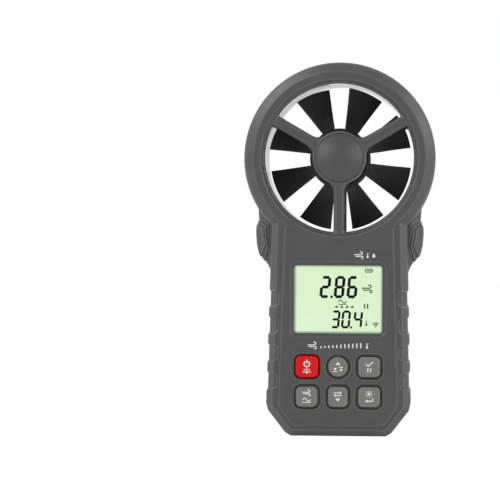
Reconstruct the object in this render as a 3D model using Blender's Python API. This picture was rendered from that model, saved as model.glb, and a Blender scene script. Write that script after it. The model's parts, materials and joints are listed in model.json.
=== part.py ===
"""A handheld vane anemometer: a meter body under a round air duct, modelled as separate pieces.

Frame: metres, +Z up along the meter, the display faces -Y, origin at the middle of the base.
All sizes below are in millimetres. Run with: blender --background --python part.py
"""

import math

import bmesh
import bpy

MM = 0.001
GAP = 0.3  # clearance between neighbouring pieces

# Driving sizes of the case
RING_Z = 122.7  # height of the duct's axis
RING_R = 42.3
RING_FLAT_R = 38.1  # outer edge of the flat annulus
CASE_BORE_R = 34.3
DUCT_R = 32.7
FRONT_Y = -18.0
BAND_Y = -17.4  # the lower band round the raised front panel
REAR_Y = 19.0
BEVEL_Y = 13.5  # where the side bevels leave the side walls
WALL = 2.0
SPLIT = 0.15  # half the gap between the two case halves
BODY_TOP = 93.0  # the body ends inside the ring
NECK_Z = 72.2

# Right half of each outline as (x, z), from the base upwards
SIDE_LINE = [(21.0, 0.0), (23.5, 1.5), (31.2, 11.5), (31.9, 14.8), (30.4, NECK_Z), (30.0, BODY_TOP)]
EDGE_LINE = [(19.9, 2.0), (21.7, 3.1), (28.5, 12.2), (29.1, 15.2), (27.6, NECK_Z), (27.0, BODY_TOP)]
PANEL_LINE = [(18.8, 4.8), (20.4, 5.6), (25.8, 12.9), (26.2, 15.6), (24.35, NECK_Z), (23.7, BODY_TOP)]
SHOULDER_LINE = [
    (30.4, NECK_Z),
    (31.5, 74.9),
    (33.4, 77.8),
    (34.9, 80.4),
    (35.9, 84.5),
    (36.3, 90.0),
    (35.9, 95.5),
    (36.3, 101.0),
]
SHOULDER_ROOT_X = 26.0
SHOULDER_Y = 10.0
SHOULDER_BEVEL = 4.0
PAD_LINE = [(32.5, 92.4), (32.3, 87.4), (31.3, 84.4), (33.0, 77.8), (33.6, 76.5)]
PAD_PROUD = 0.5
PAD_SEAT = 0.9
SCALLOP_Z = (24.4, 36.7, 48.8, 60.7)
SCALLOP_HALF = 3.15
SCALLOP_DEEP = 0.5

# Impeller and its cartridge
BLADES = 8
FIRST_BLADE = 22.3  # degrees clockwise from the top
BLADE_TIP_R = 31.6
HUB_R = 13.4
HUB_HALF = 7.0
HUB_WEB_Y = (2.2, 3.9)  # the disc inside the impeller's hub
GUARD_HUB_R = 12.4
GUARD_LIP_Y = {-1: -17.4, 1: 18.4}  # outer rim of each guard, front and rear
GUARD_HUB_Y = {-1: -17.2, 1: 17.4}  # outer face of each guard's hub and spokes
CUP_R = 10.9
CUP_Y = 8.7  # the guard hubs end this far from the middle
SPOKE_ANGLES = (60.0, 180.0, 300.0)
SPOKE_W = 4.6
SPOKE_D = 3.2
AXLE_R = 0.65
AXLE_HALF = 11.9
BEARING_R = 1.8
BEARING_L = 2.6
BEAD_ANGLE, BEAD_RADIUS = 300.0, 7.2  # where the temperature sensor sits on the rear hub
CABLE_HALF, CABLE_Y = 1.4, (10.8, 13.4)  # the slot that the sensor cable runs in

# Display and keys
LCD_Z = 60.45
LCD_W, LCD_H = 38.8, 29.8
LCD_FRAME = 3.5  # the sloped frame round the window, both sides together
LENS_W, LENS_H = 42.0, 33.0
LENS_Y = (-15.7, -14.7)
GLASS_HALF_W, GLASS_HALF_H = 21.0, 16.5
GLASS_Y = (-14.4, -12.6)
BACKLIGHT_Y = (-12.3, -9.3)
KEY_X = 13.7
KEY_TOP_Z, KEY_LOW_Z = 30.8, 17.6
KEY_Y = -18.9
KEY_GAP = 0.55
FLANGE = 1.0  # how far a key's flange stands out round its cap
FLANGE_Y = (-15.7, -14.7)
STEM_Y = -11.2
PILL_Y = (-10.9, -9.9)
MAT_W, MAT_H, MAT_Z = 42.0, 29.2, 24.7
BOARD_Y = (-8.7, -7.1)

# Battery and its bay
BATTERY_SIZE = (26.5, 17.5, 46.0)
BATTERY_Y = 7.35
BATTERY_Z = 6.0
BAY_IN, BAY_OUT = 13.9, 16.0  # half widths of the bay, inside and outside its walls
BAY_Z = (4.3, 60.0)
BAY_Y = (-3.0, 16.5)
BAY_WALL = 1.2
COVER_HALF = 14.4
COVER_Z = (4.6, 58.0)
COVER_IN_Y = 16.8
HOOK_X = (-7.5, 7.5)
HOOK_HALF = 1.8
THUMB_RIDGES, THUMB_PITCH = 5, 2.2
CASE_SCREWS = ((-23.5, 83.5), (23.5, 83.5), (-19.5, 7.0), (19.5, 7.0))
RING_SCREW_ANGLES = (-55.0, 55.0)
RING_SCREW_R = 37.4
BOARD_SCREWS = ((-23.3, 14.5), (23.3, 14.5), (-23.3, 39.4), (23.3, 39.4))
SCREW_TIP_Y, SCREW_HEAD_Y = -8.3, 6.3
PILOT_R = 1.4
SCREW_HEAD_ROOM = 2.6
RING_HEAD_ROOM = 2.1
NUT_Z = 69.5
NUT_R, NUT_HOLE_R = 3.6, 3.3
NUT_Y = (9.6, 15.9)
RING_STEPS = 48  # facets round the duct
THROUGH = 25.0  # long enough to pass right through the meter


# Materials

def finish(name, rgb, roughness, metallic=0.0):
    """A Principled material from an sRGB colour in 0..255."""
    material = bpy.data.materials.new(name)
    material.use_nodes = True
    shader = material.node_tree.nodes["Principled BSDF"]
    linear = [(c / 255.0) ** 2.2 for c in rgb]
    shader.inputs["Base Color"].default_value = (*linear, 1.0)
    shader.inputs["Roughness"].default_value = roughness
    shader.inputs["Metallic"].default_value = metallic
    return material


# Outlines

def mirrored(right):
    """A closed outline from its right half, listed upwards."""
    return right + [(-x, z) for x, z in reversed(right)]


def offset(outline, grow):
    """The outline moved outwards by grow, with mitred corners; points run anticlockwise."""
    moved = []
    count = len(outline)
    for i in range(count):
        x, z = outline[i]
        ax, az = outline[i - 1]
        bx, bz = outline[(i + 1) % count]
        before = math.atan2(z - az, x - ax)
        after = math.atan2(bz - z, bx - x)
        half_turn = (after - before + math.pi) % (2 * math.pi) / 2 - math.pi / 2
        away = before + half_turn - math.pi / 2
        reach = grow / math.cos(half_turn)
        moved.append((x + reach * math.cos(away), z + reach * math.sin(away)))
    return moved


def below(outline, top):
    """The outline with every point above top brought down to it."""
    return [(x, min(z, top)) for x, z in outline]


def circle(radius, steps, cx=0.0, cz=0.0):
    turns = [2 * math.pi * i / steps for i in range(steps)]
    return [(cx + radius * math.cos(t), cz + radius * math.sin(t)) for t in turns]


def rounded_rect(width, height, radius, cx=0.0, cz=0.0, steps=3):
    """A rectangle with round corners, anticlockwise from the right side's low corner."""
    outline = []
    for corner, (sx, sz) in enumerate(((1, -1), (1, 1), (-1, 1), (-1, -1))):
        mx = cx + sx * (width / 2 - radius)
        mz = cz + sz * (height / 2 - radius)
        for i in range(steps + 1):
            turn = math.pi / 2 * (corner - 1 + i / steps)
            outline.append((mx + radius * math.cos(turn), mz + radius * math.sin(turn)))
    return outline


def key_outline(width, height, corner, grow=0.0, cx=0.0, cz=0.0):
    """A key's outline grown by grow; a key as round as it is wide is a circle."""
    if corner >= width / 2:
        return circle(width / 2 + grow, 20, cx, cz)
    return rounded_rect(width + 2 * grow, height + 2 * grow, max(corner + grow, 0.4), cx, cz)


# Bodies

def stack(levels):
    """A closed body through outlines of equal point count, each (y, outline) at its own depth."""
    bm = bmesh.new()
    rings = [[bm.verts.new((x, y, z)) for x, z in outline] for y, outline in levels]
    count = len(rings[0])
    for near, far in zip(rings, rings[1:]):
        for i in range(count):
            j = (i + 1) % count
            bm.faces.new((near[i], near[j], far[j], far[i]))
    bm.faces.new(rings[0])
    bm.faces.new(tuple(reversed(rings[-1])))
    return bm


def prism(outline, y0, y1):
    return stack([(y0, outline), (y1, outline)])


def cylinder(radius, y0, y1, cx=0.0, cz=0.0, steps=16):
    return prism(circle(radius, steps, cx, cz), y0, y1)


def box(x0, x1, y0, y1, z0, z1):
    return prism([(x0, z0), (x1, z0), (x1, z1), (x0, z1)], y0, y1)


def lathe(profile, steps=RING_STEPS, cz=0.0):
    """A ring turned round the Y axis from a closed profile of (radius, y)."""
    bm = bmesh.new()
    rings = []
    for i in range(steps):
        turn = 2 * math.pi * i / steps
        c, s = math.cos(turn), math.sin(turn)
        rings.append([bm.verts.new((r * c, y, cz + r * s)) for r, y in profile])
    count = len(profile)
    for i in range(steps):
        near, far = rings[i], rings[(i + 1) % steps]
        for j in range(count):
            k = (j + 1) % count
            bm.faces.new((near[j], near[k], far[k], far[j]))
    return bm


def dome(profile, steps, cz=0.0):
    """A body turned round the Y axis from a profile of (radius, y) whose two ends close in flat discs."""
    return stack([(y, circle(r, steps, 0.0, cz)) for r, y in profile])


def at_angle(degrees, radius):
    """A point of the duct's circle, by its angle clockwise from the top, round the duct's axis."""
    turn = math.radians(degrees)
    return radius * math.sin(turn), radius * math.cos(turn)


def turned(outline, degrees, cz=0.0):
    """An outline of (across, outwards) swung clockwise from the top."""
    turn = math.radians(degrees)
    c, s = math.cos(turn), math.sin(turn)
    return [(u * c + v * s, cz - u * s + v * c) for u, v in outline]


# Objects

def piece(name, bm, material=None, place=(0.0, 0.0, 0.0), parent=None):
    """Makes a named object from a body in millimetres; the body's own zero goes to place."""
    bmesh.ops.recalc_face_normals(bm, faces=bm.faces)
    bmesh.ops.scale(bm, vec=(MM, MM, MM), verts=bm.verts)
    mesh = bpy.data.meshes.new(name)
    bm.to_mesh(mesh)
    bm.free()
    obj = bpy.data.objects.new(name, mesh)
    bpy.context.scene.collection.objects.link(obj)
    obj.location = [c * MM for c in place]
    obj.parent = parent
    if material:
        dress(obj, material)
    return obj


def dress(obj, material):
    """Gives the object its one material and smooth shading with sharp corners."""
    obj.data.materials.clear()
    obj.data.materials.append(material)
    obj.data.shade_smooth()
    obj.data.set_sharp_from_angle(angle=math.radians(35))


def combine(target, operation, *bodies):
    """Adds, cuts or keeps the overlap with each body in turn; they share the target's own zero."""
    for bm in bodies:
        tool = piece("tool", bm)
        tool.location = target.location
        modifier = target.modifiers.new("combine", "BOOLEAN")
        modifier.operation = operation
        modifier.solver = "MANIFOLD"
        modifier.object = tool
        graph = bpy.context.evaluated_depsgraph_get()
        result = bpy.data.meshes.new_from_object(target.evaluated_get(graph))
        target.modifiers.clear()
        target.data = result
        bpy.data.objects.remove(tool)


def join(target, *bodies):
    combine(target, "UNION", *bodies)


def cut(target, *bodies):
    combine(target, "DIFFERENCE", *bodies)


def body_of(obj):
    """Takes an object apart again into a body in millimetres."""
    bm = bmesh.new()
    bm.from_mesh(obj.data)
    bmesh.ops.scale(bm, vec=(1 / MM, 1 / MM, 1 / MM), verts=bm.verts)
    bpy.data.objects.remove(obj)
    return bm


# Case shapes shared by the two halves; side is -1 for the front half and +1 for the rear half

def case_body(side, grow=0.0):
    """Half of the solid body, moved outwards by grow."""
    line = offset(mirrored(SIDE_LINE), grow)
    edge = offset(mirrored(EDGE_LINE), grow)
    split = SPLIT if grow == 0.0 else -1.0
    if side < 0:
        panel = offset(mirrored(PANEL_LINE), grow)
        band = below(offset(panel, 0.5), BODY_TOP + grow)
        levels = [
            (-split, line),
            (-BEVEL_Y - grow, line),
            (BAND_Y - grow, edge),
            (BAND_Y - grow, band),
            (FRONT_Y - grow, panel),
        ]
    else:
        inner = below(offset(edge, -0.8), BODY_TOP + grow)
        levels = [
            (split, line),
            (BEVEL_Y + 0.5 + grow, line),
            (REAR_Y - 0.5 + grow, edge),
            (REAR_Y + grow, inner),
        ]
    return stack(levels)


def ring_body(side):
    """Half of the solid duct ring, with a sloped outer edge."""
    face = FRONT_Y if side < 0 else REAR_Y
    soft = 0.6
    return lathe(
        [
            (CASE_BORE_R - 2.0, side * SPLIT),
            (CASE_BORE_R - 2.0, face),
            (RING_FLAT_R, face),
            (RING_R - soft, face - side * 3.6),
            (RING_R, face - side * 5.2),
            (RING_R, side * SPLIT),
        ],
        cz=RING_Z,
    )


def shoulder(side, hand, grow=0.0):
    """The flared block beside the neck, from the split to its bevelled outer face."""
    outer = [(x + grow, z) for x, z in SHOULDER_LINE]
    inset = SHOULDER_BEVEL - 0.414 * grow
    face = [(max(SHOULDER_ROOT_X + 1.0, x - inset), z) for x, z in outer]
    low, high = SHOULDER_LINE[0][1], SHOULDER_LINE[-1][1]
    root = [(SHOULDER_ROOT_X, high), (SHOULDER_ROOT_X, low)]
    split = SPLIT if grow == 0.0 else -1.0
    levels = [
        (side * split, outer + root),
        (side * (SHOULDER_Y - SHOULDER_BEVEL + 0.414 * grow), outer + root),
        (side * (SHOULDER_Y + grow), face + root),
    ]
    return stack([(y, [(hand * x, z) for x, z in line]) for y, line in levels])


def pad_prism(hand, grow=0.0):
    """The pad's stepped outline, right through the shoulder from front to back."""
    far = 40.0
    inner = [(x - grow, z) for x, z in PAD_LINE]
    outline = [(far, PAD_LINE[-1][1] - grow), (far, 94.3 + grow), (36.1 - grow, 94.2 + grow)] + inner
    outline[-1] = (outline[-1][0], outline[-1][1] - grow)
    return prism([(hand * x, z) for x, z in outline], -THROUGH, THROUGH)


def pad_recess(side, hand):
    """The seat of a side pad in one case half."""
    seat = piece("seat", pad_prism(hand, 0.25))
    cut(seat, shoulder(side, hand, -PAD_SEAT), box(-60, 60, side * -30, 0.0, 0, 160))
    return body_of(seat)


def scallop(hand, z):
    """The D-shaped outline of one finger scallop, right through the body's side."""
    taper = (z - SCALLOP_Z[0]) / (SCALLOP_Z[-1] - SCALLOP_Z[0])
    inner = 27.3 - 0.8 * taper
    half = SCALLOP_HALF
    corner = 1.5
    right = []
    for i in range(5):
        turn = math.pi / 2 * i / 4
        right.append((inner + corner - corner * math.cos(turn), half - corner + corner * math.sin(turn)))
    right += [(30.6, half), (34.0, half + 1.4)]
    outline = [(x, -dz) for x, dz in reversed(right)] + right
    return prism([(hand * x, z + dz) for x, dz in outline], -THROUGH, THROUGH)


def scallop_tools(side):
    """All scallops of one case half, as deep as SCALLOP_DEEP below its surface."""
    tools = []
    for hand in (-1, 1):
        for z in SCALLOP_Z:
            tool = piece("scallop", scallop(hand, z))
            cut(tool, case_body(side, -SCALLOP_DEEP), box(-60, 60, side * -30, 0.0, 0, 160))
            tools.append(body_of(tool))
    return tools


def case_cavity(side):
    """The hollow of one case half: body room and ring channel in one body."""
    line = below(offset(mirrored(SIDE_LINE), -WALL), 88.0)
    edge = below(offset(mirrored(EDGE_LINE), -WALL + 0.2), 88.0)
    face = FRONT_Y + WALL if side < 0 else REAR_Y - 2.5
    cavity = piece("cavity", stack([(-side * 1.0, line), (side * (BEVEL_Y - 1.0), line), (face, edge)]))
    cut(cavity, cylinder(CASE_BORE_R + 1.7, -30, 30, 0, RING_Z, RING_STEPS))
    channel = lathe(
        [
            (CASE_BORE_R + 1.7, -side * 1.0),
            (CASE_BORE_R + 1.7, face),
            (RING_FLAT_R - 0.6, face),
            (RING_R - 2.0, face - side * 3.0),
            (RING_R - 2.0, -side * 1.0),
        ],
        cz=RING_Z,
    )
    join(cavity, channel)
    return body_of(cavity)


def case_half(name, side):
    """The shell of one case half before its own details."""
    half = piece(name, ring_body(side))
    join(half, case_body(side), shoulder(side, 1), shoulder(side, -1))
    cut(half, cylinder(CASE_BORE_R, -30, 30, 0, RING_Z, RING_STEPS), case_cavity(side))
    cut(half, pad_recess(side, 1), pad_recess(side, -1), *scallop_tools(side))
    return half


def ring_screw_places():
    places = []
    for angle in RING_SCREW_ANGLES:
        x, z = at_angle(angle, RING_SCREW_R)
        places.append((x, RING_Z + z))
    return places


def key_places():
    """Name, place, cap size and corner of the six keys."""
    return (
        ("key_power", -KEY_X, KEY_TOP_Z, 10.2, 9.6, 2.4),
        ("key_up", 0.0, KEY_TOP_Z, 9.2, 9.2, 4.6),
        ("key_set", KEY_X, KEY_TOP_Z, 10.2, 9.4, 2.4),
        ("key_average", -KEY_X, KEY_LOW_Z, 10.0, 9.4, 2.4),
        ("key_unit", 0.0, KEY_LOW_Z, 9.2, 9.4, 2.4),
        ("key_light", KEY_X, KEY_LOW_Z, 10.2, 9.4, 2.4),
    )


# Pieces of the case

def make_front_case(material):
    case = case_half("front_case", -1)
    slope_w, slope_h = LCD_W + LCD_FRAME, LCD_H + LCD_FRAME
    frame_top = rounded_rect(slope_w + 0.6, slope_h + 0.6, 3.2, 0, LCD_Z)
    frame_low = rounded_rect(LCD_W, LCD_H, 1.3, 0, LCD_Z)
    cut(case, stack([(-18.3, frame_top), (-17.0, frame_low), (-15.0, frame_low)]))
    for _, x, z, width, height, corner in key_places():
        cut(case, prism(key_outline(width, height, corner, KEY_GAP, x, z), -20, -15))
    for x, z in CASE_SCREWS:
        join(case, cylinder(2.6, -16.5, -SPLIT, x, z, 12))
    for x, z in ring_screw_places():
        join(case, cylinder(2.4, -16.5, -SPLIT, x, z, 12))
    for x, z in CASE_SCREWS + tuple(ring_screw_places()):
        cut(case, cylinder(PILOT_R, SCREW_TIP_Y - GAP, 1.0, x, z, 10))
    for x, z in BOARD_SCREWS:
        join(case, cylinder(1.9, -16.5, BOARD_Y[0] - GAP, x, z, 12))
        cut(case, cylinder(1.1, -12.6, -5.0, x, z, 10))
    dress(case, material)


def make_rear_case(material):
    case = case_half("rear_case", 1)
    for x, z in CASE_SCREWS:
        join(case, cylinder(3.6, SPLIT, 17.0, x, z, 14))
    for x, z in ring_screw_places():
        join(case, cylinder(2.9, SPLIT, 17.0, x, z, 14))
    for x, z in CASE_SCREWS:
        cut(case, cylinder(SCREW_HEAD_ROOM, SCREW_HEAD_Y - GAP, 20.0, x, z, 14))
    for x, z in ring_screw_places():
        cut(case, cylinder(RING_HEAD_ROOM, SCREW_HEAD_Y - GAP, 20.0, x, z, 14))
    for x, z in CASE_SCREWS + tuple(ring_screw_places()):
        cut(case, cylinder(PILOT_R, -1.0, SCREW_HEAD_Y + 0.7, x, z, 10))
    cut_battery_bay(case)
    cut(case, box(-CABLE_HALF, CABLE_HALF, *CABLE_Y, 84.0, 92.0))
    join(case, cylinder(NUT_R + 1.9, NUT_Y[0] - 0.1, 17.5, 0, NUT_Z))
    cut(case, cylinder(NUT_R + GAP, 8.5, NUT_Y[1] + GAP, 0, NUT_Z))
    cut(case, cylinder(NUT_HOLE_R, 16.0, 20.0, 0, NUT_Z))
    dress(case, material)


def cut_battery_bay(case):
    """Adds the bay's walls and cuts its room, the cover's seat, hook slots, finger notch and lead hole."""
    join(case, box(-BAY_OUT, BAY_OUT, BAY_Y[0] - BAY_WALL, 17.5, WALL + GAP, BAY_Z[1] + BAY_WALL))
    join(case, box(-BAY_OUT, BAY_OUT, SPLIT, 17.5, 1.0, WALL + 1.0))
    cut(case, box(-BAY_IN, BAY_IN, *BAY_Y, *BAY_Z))
    seat = COVER_HALF + GAP
    cut(case, box(-seat, seat, COVER_IN_Y - GAP, 20.0, COVER_Z[0] - GAP, COVER_Z[1] + GAP))
    hook_room = HOOK_HALF + GAP
    for x in HOOK_X:
        cut(case, box(x - hook_room, x + hook_room, 15.0, 17.5, 2.9, 5.0))
    notch, lead_hole = 4.5, 8.0
    cut(case, box(-notch, notch, COVER_IN_Y, 20.0, COVER_Z[1] - 0.5, COVER_Z[1] + 2.3))
    cut(case, box(-lead_hole, lead_hole, -5.0, -2.0, BAY_Z[1] - 3.4, BAY_Z[1] - 0.4))


def make_side_pad(name, hand, material):
    pad = piece(name, pad_prism(hand))
    whole = piece("whole", shoulder(-1, hand, PAD_PROUD))
    join(whole, shoulder(1, hand, PAD_PROUD))
    combine(pad, "INTERSECT", body_of(whole))
    core = piece("core", shoulder(-1, hand, GAP - PAD_SEAT))
    join(core, shoulder(1, hand, GAP - PAD_SEAT))
    cut(pad, body_of(core))
    dress(pad, material)


def make_guard(name, side, material):
    """Half of the duct liner with its spokes and the hub cup that carries a bearing."""
    face, hub_face = GUARD_LIP_Y[side], GUARD_HUB_Y[side]
    lip = 0.5
    guard = piece(name, lathe(
        [
            (DUCT_R, side * SPLIT),
            (DUCT_R, face - side * lip),
            (DUCT_R + lip, face),
            (CASE_BORE_R - GAP, face),
            (CASE_BORE_R - GAP, side * SPLIT),
        ],
        cz=RING_Z,
    ))
    half = SPOKE_W / 2
    right = [(5.4, 10.0), (3.6, 13.0), (half, 15.4), (half, DUCT_R + 0.8)]
    spoke = right + [(-u, v) for u, v in reversed(right)]
    for angle in SPOKE_ANGLES:
        join(guard, prism(turned(spoke, angle, RING_Z), hub_face, hub_face - side * SPOKE_D))
    rise = [(11.0, 0.0), (10.6, 0.45), (7.0, 0.85), (3.5, 1.05)]  # the domed cap, as radius and height
    hub = [(GUARD_HUB_R, side * CUP_Y), (GUARD_HUB_R, hub_face - side * 0.5), (GUARD_HUB_R - 0.5, hub_face)]
    hub += [(r, hub_face + side * up) for r, up in rise]
    join(guard, dome(hub, 28, RING_Z))
    mouth, floor, post_r = side * 8.0, hub_face - side * 3.0, 3.2
    cup = [(CUP_R, mouth), (CUP_R, floor), (post_r, floor), (post_r, mouth)]
    cut(guard, lathe(cup, 24, RING_Z), cylinder(post_r + 0.8, mouth, side * 9.0, 0, RING_Z, 16))
    cut(guard, cylinder(BEARING_R + GAP, mouth, side * (AXLE_HALF + GAP), 0, RING_Z, 16))
    if side > 0:
        cut(guard, box(-CABLE_HALF, CABLE_HALF, *CABLE_Y, 84.0, 92.0))
        cut(guard, box(-CABLE_HALF, CABLE_HALF, *CABLE_Y, 109.0, 112.6))
        x, z = at_angle(BEAD_ANGLE, BEAD_RADIUS)
        cut(guard, cylinder(1.5, 13.0, 20.0, x, RING_Z + z, 12))
    dress(guard, material)


# Rotor, built round the duct's axis

def blade(angle):
    """One twisted vane: a thin sheet from hub to tip, closed round its edges."""
    rows, columns = 3, 3
    root_r, tip_r = HUB_R - 0.7, BLADE_TIP_R
    bm = bmesh.new()
    faces = {}
    for surface in (-1, 1):
        for i in range(rows + 1):
            part = i / rows
            radius = root_r + (tip_r - root_r) * part
            half_angle = math.radians(10.4 + 3.6 * part)
            half_depth = 6.2 - 0.4 * part
            thick = 1.3 - 0.5 * part
            pitch = math.atan2(half_depth, radius * half_angle)
            for j in range(columns + 1):
                across = 2 * j / columns - 1
                turn = math.radians(angle) + across * half_angle
                y = across * half_depth
                side = surface * thick / 2
                swing = -side * math.sin(pitch)
                x = radius * math.sin(turn) + swing * math.cos(turn)
                z = radius * math.cos(turn) - swing * math.sin(turn)
                faces[surface, i, j] = bm.verts.new((x, y + side * math.cos(pitch), z))
        for i in range(rows):
            for j in range(columns):
                corners = ((i, j), (i + 1, j), (i + 1, j + 1), (i, j + 1))
                bm.faces.new([faces[surface, a, b] for a, b in corners])
    rim = [(i, 0) for i in range(rows)] + [(rows, j) for j in range(columns)]
    rim += [(rows - i, columns) for i in range(rows)] + [(0, columns - j) for j in range(columns)]
    for (i, j), (k, m) in zip(rim, rim[1:] + rim[:1]):
        bm.faces.new([faces[-1, i, j], faces[-1, k, m], faces[1, k, m], faces[1, i, j]])
    return bm


def make_rotor(black, steel, magnet):
    """The impeller, axle and magnet, hung on an empty on the duct's axis."""
    hub = bpy.data.objects.new("rotor_axis", None)
    bpy.context.scene.collection.objects.link(hub)
    hub.location = (0.0, 0.0, RING_Z * MM)
    sleeve_r, rim_r = 2.5, HUB_R - 1.4
    web_front, web_rear = HUB_WEB_Y
    profile = [
        (AXLE_R + GAP, -HUB_HALF),
        (AXLE_R + GAP, HUB_HALF),
        (sleeve_r, HUB_HALF),
        (sleeve_r, web_rear),
        (rim_r, web_rear),
        (rim_r, HUB_HALF),
        (HUB_R, HUB_HALF),
        (HUB_R, 0.6 - HUB_HALF),
        (HUB_R - 0.6, -HUB_HALF),
        (rim_r, -HUB_HALF),
        (rim_r, web_front),
        (sleeve_r, web_front),
        (sleeve_r, -HUB_HALF),
    ]
    impeller = piece("impeller", lathe(profile, 32))
    join(impeller, *[blade(FIRST_BLADE + i * 360.0 / BLADES) for i in range(BLADES)])
    impeller.parent = hub
    dress(impeller, black)
    piece("axle", cylinder(AXLE_R, -AXLE_HALF, AXLE_HALF, steps=16), steel, parent=hub)
    ring = [(2.8, 4.2), (2.8, 6.8), (6.0, 6.8), (6.0, 4.2)]
    piece("sensor_magnet", lathe(ring, 20), magnet, parent=hub)


def make_bearing(name, side, material):
    inner, outer = AXLE_R + GAP, BEARING_R
    y0, y1 = side * (AXLE_HALF - BEARING_L), side * AXLE_HALF
    piece(name, lathe([(inner, y0), (inner, y1), (outer, y1), (outer, y0)], 16, RING_Z), material)


def tube_along(name, points, radius, material, resolution=3):
    """A round lead through points in millimetres, as a filled bevelled curve."""
    curve = bpy.data.curves.new(name, "CURVE")
    curve.dimensions = "3D"
    curve.bevel_depth = radius * MM
    curve.bevel_resolution = 1
    curve.resolution_u = resolution
    curve.use_fill_caps = True
    spline = curve.splines.new("BEZIER")
    spline.bezier_points.add(len(points) - 1)
    for knot, point in zip(spline.bezier_points, points):
        knot.co = [c * MM for c in point]
        knot.handle_left_type = "AUTO"
        knot.handle_right_type = "AUTO"
    obj = bpy.data.objects.new(name, curve)
    bpy.context.scene.collection.objects.link(obj)
    obj.data.materials.append(material)


def make_sensor(green, black, grey, glass):
    """Board, pick-up, thermistor and cable of the wind sensor, behind the rotor."""
    rim = [(3.5, 12.2), (3.5, 13.4), (10.5, 13.4), (10.5, 12.2)]
    board = piece("sensor_board", lathe(rim, 24, RING_Z))
    x, z = at_angle(BEAD_ANGLE, BEAD_RADIUS)
    cut(board, cylinder(1.0, 12.0, 14.0, x, RING_Z + z, 12))
    dress(board, green)
    piece("hall_sensor", box(3.9, 6.9, 9.3, 11.9, RING_Z - 1.5, RING_Z + 1.5), black)
    bead = [(0.7, 11.6), (0.7, 16.4), (1.0, 17.0), (1.1, 17.8), (0.8, 18.4), (0.3, 18.6)]
    levels = [(y, circle(r, 10, x, RING_Z + z)) for r, y in bead]
    piece("temperature_sensor", stack(levels), glass)
    route = [(0, 12.1, 111.7), (0, 12.1, 100), (0, 12.1, 88), (0, 8.0, 80.5), (0, -2.0, 78.6), (0, -6.6, 76.6)]
    tube_along("sensor_cable", route, 0.7, grey)


# Display, boards and keys

def make_display(clear, glass, black, white, rubber):
    half_w, half_h = GLASS_HALF_W, GLASS_HALF_H
    frame_back = BOARD_Y[0] - GAP
    strip_top = LCD_Z - half_h + 2.9
    piece("display_window", prism(rounded_rect(LENS_W, LENS_H, 1.5, 0, LCD_Z), *LENS_Y), clear)
    piece("lcd_glass", box(-half_w, half_w, *GLASS_Y, LCD_Z - half_h, LCD_Z + half_h), glass)
    rim = 2.2
    frame = piece("lcd_frame", box(
        -half_w - rim, half_w + rim, LENS_Y[0], frame_back, LCD_Z - half_h - rim, LCD_Z + half_h + rim
    ))
    room_w, room_h = half_w + GAP, half_h + GAP
    cut(frame, box(-room_w, room_w, LENS_Y[0] - 1.0, frame_back + 1.0, LCD_Z - room_h, LCD_Z + room_h))
    dress(frame, black)
    piece("backlight_plate", box(-half_w, half_w, *BACKLIGHT_Y, strip_top + 0.6, LCD_Z + half_h), white)
    piece("zebra_strip", box(-18.0, 18.0, BACKLIGHT_Y[0], frame_back, strip_top - 2.4, strip_top), rubber)


def make_main_board(green, black, silver):
    line = [(-19.0, 10.5), (19.0, 10.5), (25.2, 12.5), (25.2, 78.5), (-25.2, 78.5), (-25.2, 12.5)]
    board = piece("main_board", prism(line, *BOARD_Y))
    for x, z in BOARD_SCREWS:
        cut(board, cylinder(1.1, -10.0, -5.0, x, z, 10))
    dress(board, green)
    rear = BOARD_Y[1] + GAP
    piece("controller_chip", box(-15.0, -5.0, rear, rear + 1.4, 65.0, 75.0), black)
    piece("radio_module", box(6.0, 18.0, rear, rear + 2.0, 62.5, 77.0), silver)


def make_keys(red, grey, carbon, mat_rubber):
    """Six keys that each slide inwards, with a carbon pill behind each, and the mat round them."""
    outline = rounded_rect(MAT_W, MAT_H, 2.0, 0.0, MAT_Z)
    mat = piece("keypad_mat", prism(outline, FLANGE_Y[0], FLANGE_Y[1] + 0.2))
    for name, x, z, width, height, corner in key_places():
        cap = key_outline(width, height, corner)
        top = key_outline(width, height, corner, -0.7)
        edge = key_outline(width, height, corner, -0.2)
        flange = key_outline(width, height, corner, FLANGE)
        stem = key_outline(width, height, corner, -1.9)
        key = piece(
            name,
            stack([
                (KEY_Y, top),
                (KEY_Y + 0.25, edge),
                (KEY_Y + 0.8, cap),
                (FLANGE_Y[0], cap),
                (FLANGE_Y[0], flange),
                (FLANGE_Y[1], flange),
                (FLANGE_Y[1], stem),
                (STEM_Y, stem),
            ]),
            red if name == "key_power" else grey,
            place=(x, 0.0, z),
        )
        pill = "contact_pill_" + name[4:]
        piece(pill, cylinder(2.4, *PILL_Y, steps=12), carbon, parent=key)
        cut(mat, prism(key_outline(width, height, corner, FLANGE + GAP, x, z), -17, -13))
    dress(mat, mat_rubber)


# Battery and fasteners

def make_battery(label, metal, foam, black, red):
    width, depth, height = BATTERY_SIZE
    y0, y1 = BATTERY_Y - depth / 2, BATTERY_Y + depth / 2
    top = BATTERY_Z + height
    battery = piece("battery", box(-width / 2, width / 2, y0, y1, BATTERY_Z, top))
    snap = piece("battery_snap", box(-11.5, 11.5, BATTERY_Y - 5.5, BATTERY_Y + 5.5, top + GAP, top + 4.2))
    for hand, radius in ((-1, 2.9), (1, 3.6)):
        middle = (hand * 6.35, BATTERY_Y, top)
        join(battery, upright(radius, -0.8, 2.5, middle))
        cut(snap, upright(radius + GAP, -1.0, 2.9, middle))
    dress(battery, label)
    dress(snap, black)
    piece("battery_foam", box(-11.0, 11.0, -2.7, -1.7, 10.0, 46.0), foam)
    start = top + 4.6
    for name, x, material in (("battery_lead_red", 5.0, red), ("battery_lead_black", -5.0, metal)):
        route = [(x, 6.0, start), (x, 3.2, start + 1.9), (x, -1.0, start + 2.2), (x, -6.0, start + 2.2)]
        tube_along(name, route, 0.6, material)


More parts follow.
